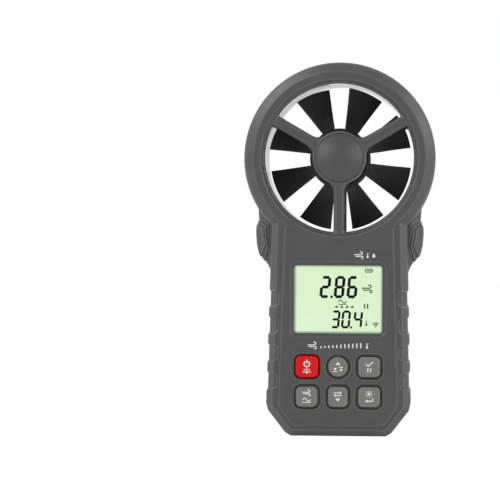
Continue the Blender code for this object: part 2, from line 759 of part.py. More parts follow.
def upright(radius, low, high, middle, steps=16):
    """A cylinder that stands along Z over a middle point."""
    bm = cylinder(radius, low, high, steps=steps)
    for vert in bm.verts:
        x, y, z = vert.co
        vert.co = (middle[0] + x, middle[1] + z, middle[2] + y)
    return bm


def make_battery_cover(material):
    """The cover turns about its lower outer edge; two hooks hold that end, a latch the other."""
    pivot = (0.0, REAR_Y, COVER_Z[0])
    low, high = COVER_Z
    plate = box(-COVER_HALF, COVER_HALF, COVER_IN_Y, REAR_Y, low, high)
    for vert in plate.verts:
        vert.co.y -= pivot[1]
        vert.co.z -= pivot[2]
    cover = piece("battery_cover", plate, place=pivot)
    for x in HOOK_X:
        join(cover, box(x - HOOK_HALF, x + HOOK_HALF, -2.9, -1.8, -0.6, 0.4))
    for i in range(THUMB_RIDGES):
        z = high - low - 8.0 - i * THUMB_PITCH
        cut(cover, box(-7.0, 7.0, -0.5, 1.0, z, z + 1.0))
    dress(cover, material)


def make_screw(name, x, z, shaft, head, y0, y1, head_h, material):
    """A pan-head screw along Y with its head at the rear."""
    levels = [(y0, shaft * 0.5), (y0 + 1.0, shaft), (y1, shaft), (y1, head), (y1 + head_h * 0.7, head)]
    levels.append((y1 + head_h, head * 0.7))
    screw = piece(name, stack([(y, circle(r, 10, x, z)) for y, r in levels]))
    y = y1 + head_h
    slot = 0.22 * head
    cut(screw, box(x - slot, x + slot, y - 0.6, y + 1, z - 0.6 * head, z + 0.6 * head))
    dress(screw, material)


def make_fasteners(steel, brass):
    for i, (x, z) in enumerate(CASE_SCREWS):
        make_screw(f"case_screw_{i + 1}", x, z, 1.1, 2.2, SCREW_TIP_Y, SCREW_HEAD_Y, 1.8, steel)
    for i, (x, z) in enumerate(ring_screw_places()):
        make_screw(f"ring_screw_{i + 1}", x, z, 1.1, 1.8, SCREW_TIP_Y, SCREW_HEAD_Y, 1.6, steel)
    for i, (x, z) in enumerate(BOARD_SCREWS):
        make_screw(f"board_screw_{i + 1}", x, z, 0.8, 1.6, -12.3, BOARD_Y[1] + GAP, 1.1, steel)
    thread_r = 2.6
    nut = [(thread_r, NUT_Y[0]), (thread_r, NUT_Y[1]), (NUT_R, NUT_Y[1]), (NUT_R, NUT_Y[0])]
    piece("tripod_nut", lathe(nut, 16, NUT_Z), brass)


def main():
    for obj in list(bpy.data.objects):
        bpy.data.objects.remove(obj, do_unlink=True)
    case_grey = finish("case_plastic", (83, 83, 84), 0.5)
    pad_grey = finish("pad_rubber", (74, 74, 75), 0.75)
    key_grey = finish("key_rubber", (122, 122, 120), 0.6)
    key_red = finish("key_red_rubber", (205, 30, 35), 0.5)
    vane_black = finish("vane_plastic", (24, 24, 24), 0.45)
    clear = finish("window_plastic", (225, 235, 225), 0.05)
    display_green = finish("display_glass", (219, 238, 206), 0.2)
    white = finish("diffuser_plastic", (235, 240, 235), 0.4)
    steel = finish("steel", (170, 170, 172), 0.3, 1.0)
    brass = finish("brass", (190, 150, 80), 0.35, 1.0)
    magnet = finish("magnet", (60, 60, 65), 0.4, 1.0)
    board_green = finish("board_laminate", (30, 95, 55), 0.5)
    black = finish("black_plastic", (28, 28, 30), 0.5)
    mat_rubber = finish("mat_rubber", (60, 60, 62), 0.8)
    foam = finish("foam", (50, 50, 52), 0.95)
    label = finish("battery_label", (40, 42, 60), 0.35, 0.2)
    red = finish("red_lead", (190, 30, 30), 0.5)

    make_front_case(case_grey)
    make_rear_case(case_grey)
    make_side_pad("left_side_pad", -1, pad_grey)
    make_side_pad("right_side_pad", 1, pad_grey)
    make_guard("front_guard", -1, case_grey)
    make_guard("rear_guard", 1, case_grey)
    make_rotor(vane_black, steel, magnet)
    make_bearing("front_bearing", -1, brass)
    make_bearing("rear_bearing", 1, brass)
    make_sensor(board_green, black, mat_rubber, black)
    make_display(clear, display_green, black, white, mat_rubber)
    make_main_board(board_green, black, steel)
    make_keys(key_red, key_grey, black, mat_rubber)
    make_battery(label, black, foam, black, red)
    make_battery_cover(case_grey)
    make_fasteners(steel, brass)


main()
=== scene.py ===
"""The looks of a handheld vane anemometer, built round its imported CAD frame.

Shapes are in millimetres and turn into metres where a mesh is made. The display faces -Y, the duct's
axis runs along Y and the base stands on z = 0. Moulded pieces are signed-distance shapes: a function is
below zero inside the piece, and a mesh is drawn where it crosses zero.
"""

import json
import math

import bmesh
import bpy
import numpy as np
from mathutils import Euler, Matrix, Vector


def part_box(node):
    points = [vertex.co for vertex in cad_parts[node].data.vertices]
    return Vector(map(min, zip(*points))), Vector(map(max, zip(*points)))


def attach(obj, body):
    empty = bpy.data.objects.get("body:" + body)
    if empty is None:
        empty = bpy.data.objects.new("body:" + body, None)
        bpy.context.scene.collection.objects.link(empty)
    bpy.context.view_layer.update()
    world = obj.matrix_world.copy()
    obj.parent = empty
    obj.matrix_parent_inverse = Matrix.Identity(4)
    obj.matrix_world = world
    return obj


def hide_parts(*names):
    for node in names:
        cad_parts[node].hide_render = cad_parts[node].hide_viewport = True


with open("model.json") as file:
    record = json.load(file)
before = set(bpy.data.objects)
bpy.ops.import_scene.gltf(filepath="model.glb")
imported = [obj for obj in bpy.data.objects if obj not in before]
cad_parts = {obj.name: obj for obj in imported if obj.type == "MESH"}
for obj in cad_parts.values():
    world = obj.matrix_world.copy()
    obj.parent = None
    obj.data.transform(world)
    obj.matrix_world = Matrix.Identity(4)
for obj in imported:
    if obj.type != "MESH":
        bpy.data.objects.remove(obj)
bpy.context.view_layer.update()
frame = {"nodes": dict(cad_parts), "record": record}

MM = 0.001
SLOTS = {entry["node"]: entry["material_slot"] for entry in frame["record"]["subparts"]}

# Camera, lights and floor; places and sizes in metres
EYE_RIGHT, EYE_AWAY, EYE_HEIGHT = 0.037, 1.239, 0.0819
AIM_X = -0.0391  # where the camera looks, left of the meter in the plane of its face
ROLL_DEGREES = 0.35
LENS = 200.0  # millimetres
FLOOR_HALF, FLOOR_DROP = 6.0, 0.0002
FLOOR_GLOW, FLOOR_WHITENESS = 0.42, 0.98  # the floor's own light, and how white the camera sees it
DIFFUSE_SKY, GLOSSY_SKY = 0.42, 0.88  # how bright the sky is for matt and for shiny reflection
LIGHTS = {  # place in metres, width in metres, power in watts, and whether it only makes highlights
    "left_side_light": ((-1.02, -0.1, 1.1), 1.1, 14.0, False),
    "right_side_light": ((1.28, -0.1, 0.72), 1.1, 10.5, False),
    "left_front_light": ((-0.76, -1.12, 0.57), 0.5, 5.6, True),
    "right_front_light": ((0.84, -1.12, 0.45), 0.5, 4.4, True),
}


# Sizes from the frame

def low(node, axis):
    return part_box(node)[0][axis] / MM


def high(node, axis):
    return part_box(node)[1][axis] / MM


def middle(node, axis):
    return (low(node, axis) + high(node, axis)) / 2


def size(node, axis):
    return high(node, axis) - low(node, axis)


def corners(node):
    """A node's low corner and high corner."""
    return [low(node, a) for a in range(3)], [high(node, a) for a in range(3)]


AXIS_Z = middle("axle", 2)
RING_R = size("front_case", 0) / 2
FRONT = -low("front_case", 1)
REAR = high("rear_case", 1)
SPLIT = -high("front_case", 1)
DUCT_OUT_R = size("front_guard", 0) / 2
HUB_DOME = 1.05  # how far the frame's guard hubs swell past their own faces
HUB_FACE_FRONT = -low("front_guard", 1) - HUB_DOME
HUB_FACE_REAR = high("rear_guard", 1) - HUB_DOME
HUB_HALF = size("impeller", 1) / 2
COVER_HALF = size("battery_cover", 0) / 2
COVER_TOP = high("battery_cover", 2)
BATTERY_Y = middle("battery", 1)
WINDOW_Z = middle("display_window", 2)
NUT_Z = middle("tripod_nut", 2)

# Case sizes that the frame's boxes don't hold
RING_FLAT_R = 38.1
CASE_BORE_R = 33.98
WALL = 1.9
LIP, LIP_REACH = 1.2, 1.4  # a lip inside the rear half's wall, which reaches behind the front half's wall
SHELL_STEP = 0.69  # grid step of the two case halves' meshes
BODY_TOP = 94.2
PANEL_RISE = 0.6  # the front panel stands this far out of the body
FRONT_BEVEL, REAR_BEVEL = (13.5, 17.4), (14.0, 18.6)  # depths where the body's bevels start and end
BEVEL_RUN = 2.85
SHOULDER_SLOPE, SHOULDER_DEEP = 6.0, 10.0  # depths where the shoulders start to slope and where they end
SIDE_LINE = [(21.0, 0.0), (23.5, 1.5), (31.2, 11.5), (31.9, 14.8), (30.4, 72.2), (29.8, 100.0)]
PANEL_LINE = [(18.8, 4.8), (20.4, 5.6), (25.8, 12.9), (26.2, 15.6), (24.35, 72.2), (23.5, 100.0)]
SHOULDER_LINE = [
    (26.0, 101.0), (26.0, 72.2), (30.4, 72.2), (31.5, 74.9), (33.4, 77.8),
    (34.9, 80.4), (35.9, 84.5), (36.3, 90.0), (35.9, 95.5), (36.3, 101.0),
]
PAD_LINE = [
    (45.0, 76.5), (45.0, 94.9), (36.1, 94.8), (32.5, 92.8),
    (32.3, 87.4), (31.3, 84.4), (33.0, 77.8), (33.6, 76.5),
]
PAD_TOP_LINE = [
    (45.0, 78.2), (45.0, 93.4), (36.4, 93.2), (33.6, 91.4),
    (33.5, 87.4), (32.6, 84.7), (34.6, 79.7), (35.4, 78.2),
]
SCALLOPS = [(24.4, 27.3), (36.7, 27.0), (48.8, 26.8), (60.7, 26.5)]  # height and inner end
SCALLOP_HALF, SCALLOP_ROUND, SCALLOP_DEEP = 3.15, 1.6, 0.6
WINDOW_X = -0.15
WINDOW_HALF_W, WINDOW_HALF_H = 19.2, 14.7
WINDOW_SILL = 16.4  # depth at which the sloped frame meets the window
KEYS = ["key_power", "key_up", "key_set", "key_average", "key_unit", "key_light"]
KEY_GAP, KEY_FLANGE = 0.6, 1.0  # room round a key's outline, and how far its flange reaches past it
KEY_FLANGE_DEEP, KEY_STEM_DEEP = 15.2, 13.4  # depths of their middles
BAY = (-16.0, -4.2, 2.3), (16.0, 17.6, 61.2)  # corners of the battery bay
BAY_HOLLOW = (-13.9, -3.0, 4.3), (13.9, 16.5, 60.0)
SCREW_BOSSES = {f"case_screw_{i}": (3.6, 2.6) for i in (1, 2, 3, 4)}  # radius of the boss and of its hole
SCREW_BOSSES |= {f"ring_screw_{i}": (2.9, 2.1) for i in (1, 2)}
NUT_BOSS_R, NUT_HOLE_R = 5.5, 3.3
COVER_LOW, COVER_GAP, COVER_SEAT = 4.6, 0.3, 16.5  # the seat is how deep the cover's recess lies
COVER_MID, COVER_HALF_TALL = (COVER_LOW + COVER_TOP) / 2, (COVER_TOP - COVER_LOW) / 2

# Duct and rotor sizes that the frame's boxes don't hold
DUCT_R = 32.7
GUARD_HUB_R = 11.85
DOME_R, DOME_SUNK = 10.9, 0.6  # the hub dome's edge lies sunk in the hub's face
DOME_RISE_FRONT, DOME_RISE_REAR = 2.35, 2.05
SPOKES = (60.0, 180.0, 300.0)
SPOKE_HALF, SPOKE_HALF_DEEP = 2.45, 1.6
HUB_MOUTH = 8.7  # depth of a guard hub's open end
CUP_R, SEAT_R, SEAT_BORE_R = 10.7, 3.2, 2.1  # a guard hub's cup, its bearing seat and the seat's bore
BEAD_OUT, BEAD_HOLE_R = 7.2, 1.5  # the temperature bead, on the line of the last spoke
HUB_R = 13.4
TIP_R = 31.6
VANE_ROOT_HALF, VANE_TIP_HALF = 2.3, 7.65
VANE_HALF_DEEP = 6.3
VANE_TURN = 21.2  # degrees from straight up to the first vane

# Battery sizes
BATTERY_TALL = 46.0
POSTS = ((-6.35, 2.7), (6.35, 3.6))  # place and radius of the two terminals
COPPER_TOP, FOOT_TOP, HEAD_LOW = 19.0, 7.2, 50.5  # heights where the wrap changes colour


# Distance functions

def smooth_max(a, b, k):
    """The overlap of two shapes, its edge rounded over about k."""
    near = np.maximum(k - np.abs(a - b), 0.0) / k
    return np.maximum(a, b) + near * near * (k * 0.25)


def smooth_min(a, b, k):
    """Two shapes joined, with a fillet of about k."""
    return -smooth_max(-a, -b, k)


def polygon(x, z, points):
    """Distance to a closed outline in the XZ plane, negative inside."""
    best = None
    inside = np.zeros(np.broadcast_shapes(x.shape, z.shape), bool)
    for (ax, az), (bx, bz) in zip(points, points[1:] + points[:1]):
        ex, ez = bx - ax, bz - az
        wx, wz = x - ax, z - az
        along = np.clip((wx * ex + wz * ez) / (ex * ex + ez * ez), 0.0, 1.0)
        gap = (wx - ex * along) ** 2 + (wz - ez * along) ** 2
        best = gap if best is None else np.minimum(best, gap)
        if ez:
            inside ^= ((az > z) != (bz > z)) & (x < ex * (z - az) / ez + ax)
    return np.where(inside, -1.0, 1.0) * np.sqrt(best)


def rounded_box(u, v, half_u, half_v, corner):
    """Distance to a rectangle with round corners."""
    over_u = np.abs(u) - (half_u - corner)
    over_v = np.abs(v) - (half_v - corner)
    outside = np.hypot(np.maximum(over_u, 0.0), np.maximum(over_v, 0.0))
    return outside + np.minimum(np.maximum(over_u, over_v), 0.0) - corner


def block(x, y, z, low_corner, high_corner, k=0.3):
    """Distance to a box given by two corners, its edges rounded over k."""
    shape = None
    for c, a, b in zip((x, y, z), low_corner, high_corner):
        slab = np.abs(c - (a + b) / 2) - (b - a) / 2
        shape = slab if shape is None else smooth_max(shape, slab, k)
    return shape


def both_sides(line):
    """A closed outline from its right half, listed upwards."""
    return line + [(-x, z) for x, z in reversed(line)]


# Meshes from distance functions

def slope_of(field, points):
    """The distance and its gradient at each point."""
    h = 0.02
    columns = []
    for axis in range(3):
        step = np.zeros(3)
        step[axis] = h
        ahead = field(*(points + step).T)
        behind = field(*(points - step).T)
        columns.append((ahead - behind) / (2 * h))
    return field(*points.T), np.stack(columns, 1)


def settle(field, points, step):
    """Moves points onto the surface along the gradient, in two rounds."""
    for _ in range(2):
        value, slope = slope_of(field, points)
        steep = np.maximum((slope ** 2).sum(1), 0.05)
        move = slope * (value / steep)[:, None]
        length = np.linalg.norm(move, axis=1, keepdims=True)
        points = points - move * np.minimum(1.0, step * 0.5 / np.maximum(length, 1e-9))
    return points


def relax(points, quads):
    """Moves each point to the average of its neighbours."""
    total = np.zeros_like(points)
    count = np.zeros(len(points))
    for a, b in ((0, 1), (1, 2), (2, 3), (3, 0)):
        for i, j in ((quads[:, a], quads[:, b]), (quads[:, b], quads[:, a])):
            np.add.at(total, i, points[j])
            np.add.at(count, i, 1.0)
    return total / np.maximum(count, 1.0)[:, None]


def surface_net(field, low_corner, high_corner, step):
    """Quads round the zero level of a field, one point for each grid cell that the surface crosses."""
    axes = [np.arange(a - 1.5 * step, b + 2.5 * step, step) for a, b in zip(low_corner, high_corner)]
    gx = axes[0][:, None, None]
    gy = axes[1][None, :, None]
    gz = axes[2][None, None, :]
    grid = np.broadcast_to(field(gx, gy, gz), [len(a) for a in axes]).astype(np.float32)
    cells = tuple(n - 1 for n in grid.shape)
    total = np.zeros(cells + (3,), np.float32)
    count = np.zeros(cells, np.float32)
    crossings = []
    for axis in range(3):
        near = np.moveaxis(grid, axis, 0)[:-1]
        far = np.moveaxis(grid, axis, 0)[1:]
        crossed = (near < 0) != (far < 0)
        share = np.where(crossed, near / np.where(crossed, near - far, 1.0), 0.0)
        crossings.append((crossed, near < 0))
        moved_total = np.moveaxis(total, axis, 0)
        moved_count = np.moveaxis(count, axis, 0)
        others = [a for a in range(3) if a != axis]
        for p in (0, 1):
            for q in (0, 1):
                rows = slice(p, grid.shape[others[0]] - 1 + p)
                columns = slice(q, grid.shape[others[1]] - 1 + q)
                hit = crossed[:, rows, columns]
                moved_count += hit
                moved_total[..., axis] += np.where(hit, share[:, rows, columns], 0.0)
                moved_total[..., others[0]] += hit * p
                moved_total[..., others[1]] += hit * q
    active = count > 0
    number = np.full(cells, -1, np.int64)
    number[active] = np.arange(active.sum())
    corner = np.argwhere(active)
    origin = np.array([a[0] for a in axes])
    points = origin + (corner + total[active] / count[active][:, None]) * step
    quads = []
    for axis, (crossed, starts_inside) in enumerate(crossings):
        moved = np.moveaxis(number, axis, 0)
        inner = crossed[:, 1:-1, 1:-1]
        i, u, v = np.nonzero(inner)
        ring = [moved[i, u + a, v + b] for a, b in ((0, 0), (1, 0), (1, 1), (0, 1))]
        quad = np.stack(ring, 1)
        flip = starts_inside[:, 1:-1, 1:-1][i, u, v] == (axis == 1)
        quad[flip] = quad[flip][:, ::-1]
        quads.append(quad)
    return points, np.concatenate(quads)


def new_object(name, data, place):
    obj = bpy.data.objects.new(name, data)
    obj.location = place
    bpy.context.scene.collection.objects.link(obj)
    return obj


def make_object(name, points, faces, look, place=(0.0, 0.0, 0.0)):
    """A smooth-shaded object from points in millimetres."""
    mesh = bpy.data.meshes.new(name)
    loops = [list(map(int, face)) for face in faces]
    mesh.from_pydata((np.asarray(points) * MM).tolist(), [], loops)
    mesh.shade_smooth()
    mesh.materials.append(look.material)
    return new_object(name, mesh, [c * MM for c in place])


def sharpen(obj, degrees):
    """Keeps corners sharper than an angle and makes all faces look outwards."""
    bm = bmesh.new()
    bm.from_mesh(obj.data)
    bmesh.ops.recalc_face_normals(bm, faces=bm.faces)
    bm.to_mesh(obj.data)
    bm.free()
    obj.data.set_sharp_from_angle(angle=math.radians(degrees))


def mould(name, field, low_corner, high_corner, step, look):
    """A moulded piece: the field's surface with its grid pattern relaxed away."""
    points, quads = surface_net(field, low_corner, high_corner, step)
    for _ in range(2):
        points = settle(field, relax(points, quads), step)
    points = settle(field, points, step)
    _, slope = slope_of(field, points)
    obj = make_object(name, points, quads, look)
    normals = slope / np.maximum(np.linalg.norm(slope, axis=1, keepdims=True), 1e-9)
    obj.data.normals_split_custom_set_from_vertices(normals.tolist())
    edge = obj.data.attributes.new("edge", "FLOAT", "POINT")
    edge.data.foreach_set("value", bend(field, points).astype(np.float32))
    return obj


def bend(field, points, reach=0.3):
    """How sharply the surface turns at each point: above zero on outer edges, below zero in creases."""
    total = -6.0 * field(*points.T)
    for axis in range(3):
        for sign in (-1, 1):
            step = np.zeros(3)
            step[axis] = sign * reach
            total = total + field(*(points + step).T)
    return np.clip(total / reach ** 2, -3.0, 3.0)


# Case shapes; depth is the distance from the split plane towards a half's own face

def ring_shape(radius, depth, face):
    """The duct ring as a solid disc with a sloped, rounded outer edge."""
    slope = (radius - RING_FLAT_R + depth - face) * math.sqrt(0.5)
    rim = smooth_max(radius - RING_R, slope, 1.6)
    return smooth_max(rim, depth - face, 0.3)


def body_shape(x, depth, z, face, bevel_from, bevel_to):
    """The meter body with bevels along its sides, chin and base."""
    outline = polygon(x, z, both_sides(SIDE_LINE))
    rise = bevel_to - bevel_from
    long = math.hypot(BEVEL_RUN, rise)
    bevel = outline * (rise / long) + (depth - bevel_from) * (BEVEL_RUN / long)
    body = smooth_max(smooth_max(outline, bevel, 0.6), depth - face, 0.3)
    return smooth_max(body, z - BODY_TOP, 0.3)


def panel_shape(x, depth, z):
    """The raised front panel, which runs up into the ring's flat face."""
    outline = polygon(x, z, both_sides(PANEL_LINE))
    draft = outline * 0.77 + (depth - FRONT) * 0.64
    return smooth_max(smooth_max(outline - PANEL_RISE, draft, 0.3), depth - FRONT, 0.35)


def shoulder_shape(x, depth, z):
    """The flared blocks beside the neck."""
    outline = polygon(np.abs(x), z, SHOULDER_LINE)
    slope = (outline + depth - SHOULDER_SLOPE) * math.sqrt(0.5)
    return smooth_max(smooth_max(outline, slope, 0.9), depth - SHOULDER_DEEP, 0.6)


def case_outside(x, depth, z, side):
    """The outer form of one case half, before any opening is cut."""
    radius = np.hypot(x, z - AXIS_Z)
    ring = ring_shape(radius, depth, FRONT if side < 0 else REAR)
    if side < 0:
        body = body_shape(x, depth, z, FRONT - PANEL_RISE, *FRONT_BEVEL)
        body = smooth_min(body, panel_shape(x, depth, z), 0.3)
    else:
        body = body_shape(x, depth, z, REAR, *REAR_BEVEL)
    return smooth_min(smooth_min(ring, body, 0.25), shoulder_shape(x, depth, z), 0.4)


def finger_scallops(x, z):
    """Outline distance of the D-shaped finger recesses along both sides."""
    found = None
    across = np.abs(x)
    flare = np.maximum(across - 29.8, 0.0) * 0.45
    far = 50.0
    for height, inner in SCALLOPS:
        right = across - (inner + far) / 2
        shape = rounded_box(right, z - height, (far - inner) / 2, SCALLOP_HALF, SCALLOP_ROUND) - flare
        found = shape if found is None else np.minimum(found, shape)
    return found


def case_shell(x, depth, z, side):
    """One case half: outer form, scallops, pad seats, hollow inside, duct bore and a lipped seam."""
    radius = np.hypot(x, z - AXIS_Z)
    base = case_outside(x, depth, z, side)
    hollow = smooth_max(base + WALL, CASE_BORE_R + WALL - radius, 0.4)
    dip = smooth_min(-finger_scallops(x, z), base + SCALLOP_DEEP, 0.35)
    shell = smooth_max(base, dip, 0.45)
    seat = smooth_min(-(polygon(np.abs(x), z, PAD_LINE) - 0.03), base + 0.8, 0.2)
    shell = smooth_max(shell, seat, 0.2)
    shell = smooth_max(shell, -hollow, 0.4)
    shell = smooth_max(shell, CASE_BORE_R - radius, 1.3)
    half = smooth_max(shell, SPLIT - depth, 0.25)
    if side < 0:
        return half
    clear_of_front = np.minimum(base + WALL + 0.1, 0.2 - depth)
    lip = np.maximum(clear_of_front, -(base + WALL + LIP))
    lip = np.maximum(np.maximum(lip, np.abs(depth) - LIP_REACH), base + WALL - 0.4)
    return np.minimum(half, np.maximum(lip, CASE_BORE_R + 0.5 - radius))


def key_outline(name, x, z):
    """Distance to a key's outline."""
    half_w = size(name, 0) / 2 - KEY_FLANGE
    half_h = size(name, 2) / 2 - KEY_FLANGE
    corner = half_w if name == "key_up" else 2.4
    return rounded_box(x - middle(name, 0), z - middle(name, 2), half_w, half_h, corner)


def front_case_shape(x, y, z):
    depth = -y
    shell = case_shell(x, depth, z, -1)
    window = rounded_box(x - WINDOW_X, z - WINDOW_Z, WINDOW_HALF_W, WINDOW_HALF_H, 1.3)
    frame_slope = (window - 1.2 * (depth - 16.5)) * 0.64
    opening = smooth_min(window, np.maximum(frame_slope, WINDOW_SILL - depth), 0.2)
    shell = smooth_max(shell, -opening, 0.3)
    for name in KEYS:
        well = key_outline(name, x, z) - KEY_GAP
        shell = smooth_max(shell, -np.maximum(well, 12.0 - depth), 0.8)
    return shell


def rear_case_shape(x, y, z):
    shell = np.minimum(case_shell(x, y, z, 1), block(x, y, z, *BAY))
    from_nut = np.hypot(x, z - NUT_Z)
    shell = np.minimum(shell, np.maximum(from_nut - NUT_BOSS_R, np.abs(y - 13.4) - 4.0))
    for name, (boss_r, hole_r) in SCREW_BOSSES.items():
        post = np.hypot(x - middle(name, 0), z - middle(name, 2))
        shell = np.minimum(shell, np.maximum(post - boss_r, np.abs(y - 8.7) - 8.5))
        shell = smooth_max(shell, -np.maximum(post - hole_r, 6.0 - y), 0.35)
    shell = np.maximum(shell, -block(x, y, z, *BAY_HOLLOW))
    cover = rounded_box(x, z - COVER_MID, COVER_HALF + COVER_GAP, COVER_HALF_TALL + COVER_GAP, 1.2)
    shell = smooth_max(shell, -np.maximum(cover, COVER_SEAT - y), 0.3)
    thumb = rounded_box(x, z - COVER_TOP, 4.5, 2.3, 1.5)
    shell = smooth_max(shell, -np.maximum(thumb, 16.8 - y), 0.4)
    return smooth_max(shell, -np.maximum(from_nut - NUT_HOLE_R, 9.0 - y), 0.5)


def pad_shape(hand):
    """A rubber side pad in two steps, wrapped round its shoulder."""
    def field(x, y, z):
        across = x * hand
        depth = np.abs(y)
        base = shoulder_shape(np.maximum(across, 0.0), depth, z)
        first = smooth_max(base - 0.45, polygon(across, z, PAD_LINE) - 0.15, 0.3)
        second = smooth_max(base - 0.95, polygon(across, z, PAD_TOP_LINE), 0.4)
        return smooth_max(smooth_min(first, second, 0.4), -(base + 0.6), 0.2)
    return field


# Duct guards and impeller

def spokes(x, z, half_width, reach):
    """Outline distance of three spokes."""
    found = None
    for degrees in SPOKES:
        turn = math.radians(degrees)
        out = x * math.sin(turn) + z * math.cos(turn)
        across = x * math.cos(turn) - z * math.sin(turn)
        arm = np.maximum(np.maximum(np.abs(across) - half_width, -out), out - reach)
        found = arm if found is None else np.minimum(found, arm)
    return found


def guard_shape(side, rim, hub_face, dome_rise):
    """Half of the duct liner with three spokes and a domed hub cup."""
    def field(x, y, z):
        depth = side * y
        up = z - AXIS_Z
        radius = np.hypot(x, up)
        from_liner = np.abs(radius - (DUCT_R + DUCT_OUT_R) / 2)
        liner = np.maximum(from_liner - (DUCT_OUT_R - DUCT_R) / 2, SPLIT - depth)
        lip = (DUCT_R - radius + depth - rim + 1.1) * math.sqrt(0.5)
        liner = smooth_max(smooth_max(liner, depth - rim, 0.3), lip, 0.3)
        plan = smooth_min(spokes(x, up, SPOKE_HALF, DUCT_R + 0.9), radius - GUARD_HUB_R + 0.2, 4.2)
        arms = smooth_max(plan, np.abs(depth - hub_face + SPOKE_HALF_DEEP) - SPOKE_HALF_DEEP, 1.5)
        drum = smooth_max(np.maximum(radius - GUARD_HUB_R, HUB_MOUTH - depth), depth - hub_face, 0.9)
        shape = smooth_min(smooth_min(liner, arms, 0.8), drum, 0.2)
        moat = np.maximum(radius - DOME_R, hub_face - DOME_SUNK - 0.15 - depth)
        shape = smooth_max(shape, -moat, 0.4)
        fall = (np.minimum(radius, DOME_R) / DOME_R) ** 2.0
        gate_mark = 0.2 * np.exp(-(radius / 0.8) ** 2)
        crown = (depth - hub_face + DOME_SUNK - dome_rise * (1.0 - fall) + gate_mark) * 0.9
        dome = np.maximum(np.maximum(radius - DOME_R, crown), hub_face - 2.5 - depth)
        shape = smooth_min(shape, dome, 0.15)
        cup = np.maximum(np.maximum(radius - CUP_R, SEAT_R - radius), depth - hub_face + 3.0)
        shape = np.maximum(shape, -cup)
        shape = np.maximum(shape, -np.maximum(radius - SEAT_BORE_R, depth - 12.2))
        if side > 0:
            turn = math.radians(SPOKES[-1])
            bead = np.hypot(x - BEAD_OUT * math.sin(turn), up - BEAD_OUT * math.cos(turn)) - BEAD_HOLE_R
            shape = smooth_max(shape, -np.maximum(bead, 13.0 - depth), 0.3)
            slot = np.maximum(np.abs(x) - 1.4, np.abs(depth - 12.1) - 1.3)
            shape = np.maximum(shape, -np.maximum(slot, up + 9.0))
        return shape
    return field


def lathe(profile, steps):
    """Points and faces of a ring turned round the Y axis from a closed profile of (radius, y)."""
    count = len(profile)
    points, faces = [], []
    for i in range(steps):
        turn = 2 * math.pi * i / steps
        points += [(r * math.sin(turn), y, r * math.cos(turn)) for r, y in profile]
    for i in range(steps):
        near, far = i * count, (i + 1) % steps * count
        for j in range(count):
            k = (j + 1) % count
            faces.append((near + j, far + j, far + k, near + k))
    return points, faces


def vane(turn):
    """One twisted vane: two sheets that meet in a rounded rim, its root buried in the hub."""
    rows = [0.0, 0.03, 0.07, 0.13, 0.25, 0.4, 0.55, 0.7, 0.85, 0.95, 0.99, 1.0]
    columns = [-1.0, -0.97, -0.9, -0.75, -0.5, -0.25, 0.0, 0.25, 0.5, 0.75, 0.9, 0.97, 1.0]
    root = HUB_R - 0.8
    c, s = math.cos(turn), math.sin(turn)
    points, faces = [], []
    for surface in (-1, 1):
        for part in rows:
            radius = root + (TIP_R - root) * part
            half_width = VANE_ROOT_HALF + (VANE_TIP_HALF - VANE_ROOT_HALF) * part
            half_depth = VANE_HALF_DEEP - 0.5 * part
            lean = math.atan2(half_depth, half_width)
            for across in columns:
                edge = 0.35 if part == 1.0 or abs(across) == 1.0 else 1.0
                side = surface * edge * (0.6 - 0.2 * part) * (1.0 - 0.25 * across * across)
                u = across * half_width
                v = math.sqrt(radius * radius - u * u)
                u -= side * math.sin(lean)
                y = across * half_depth + side * math.cos(lean)
                points.append((u * c + v * s, y, v * c - u * s))
    wide, tall = len(columns), len(rows)
    sheet = wide * tall
    for i in range(tall - 1):
        for j in range(wide - 1):
            a = i * wide + j
            quad = (a, a + 1, a + wide + 1, a + wide)
            faces.append(quad)
            faces.append(tuple(sheet + k for k in reversed(quad)))
    rim = list(range(wide)) + [i * wide + wide - 1 for i in range(1, tall)]
    rim += [(tall - 1) * wide + j for j in range(wide - 2, -1, -1)]
    rim += [i * wide for i in range(tall - 2, 0, -1)]
    for a, b in zip(rim, rim[1:] + rim[:1]):
        faces.append((b, a, sheet + a, sheet + b))
    return points, faces


def joined(parts):
    """Several lists of points and faces as one."""
    points, faces = [], []
    for more, loops in parts:
        start = len(points)
        points += list(more)
        faces += [tuple(start + i for i in loop) for loop in loops]
    return points, faces


def impeller_parts():
    """Eight vanes on a cup-shaped hub with a web and a sleeve."""
    sleeve, rim = 2.5, HUB_R - 1.4
    web_front, web_rear = 2.2, 3.9
    profile = [
        (0.95, -HUB_HALF), (sleeve, -HUB_HALF), (sleeve, web_front), (rim, web_front),
        (rim, -HUB_HALF + 0.3), (rim + 0.3, -HUB_HALF), (HUB_R - 0.6, -HUB_HALF),
        (HUB_R - 0.2, -HUB_HALF + 0.2), (HUB_R, -HUB_HALF + 0.6), (HUB_R, HUB_HALF - 0.3),
        (HUB_R - 0.3, HUB_HALF), (rim, HUB_HALF), (rim, web_rear), (sleeve, web_rear),
        (sleeve, HUB_HALF), (0.95, HUB_HALF),
    ]
    vanes = [vane(math.radians(VANE_TURN + 45.0 * i)) for i in range(8)]
    return joined([lathe(profile, 96)] + vanes)


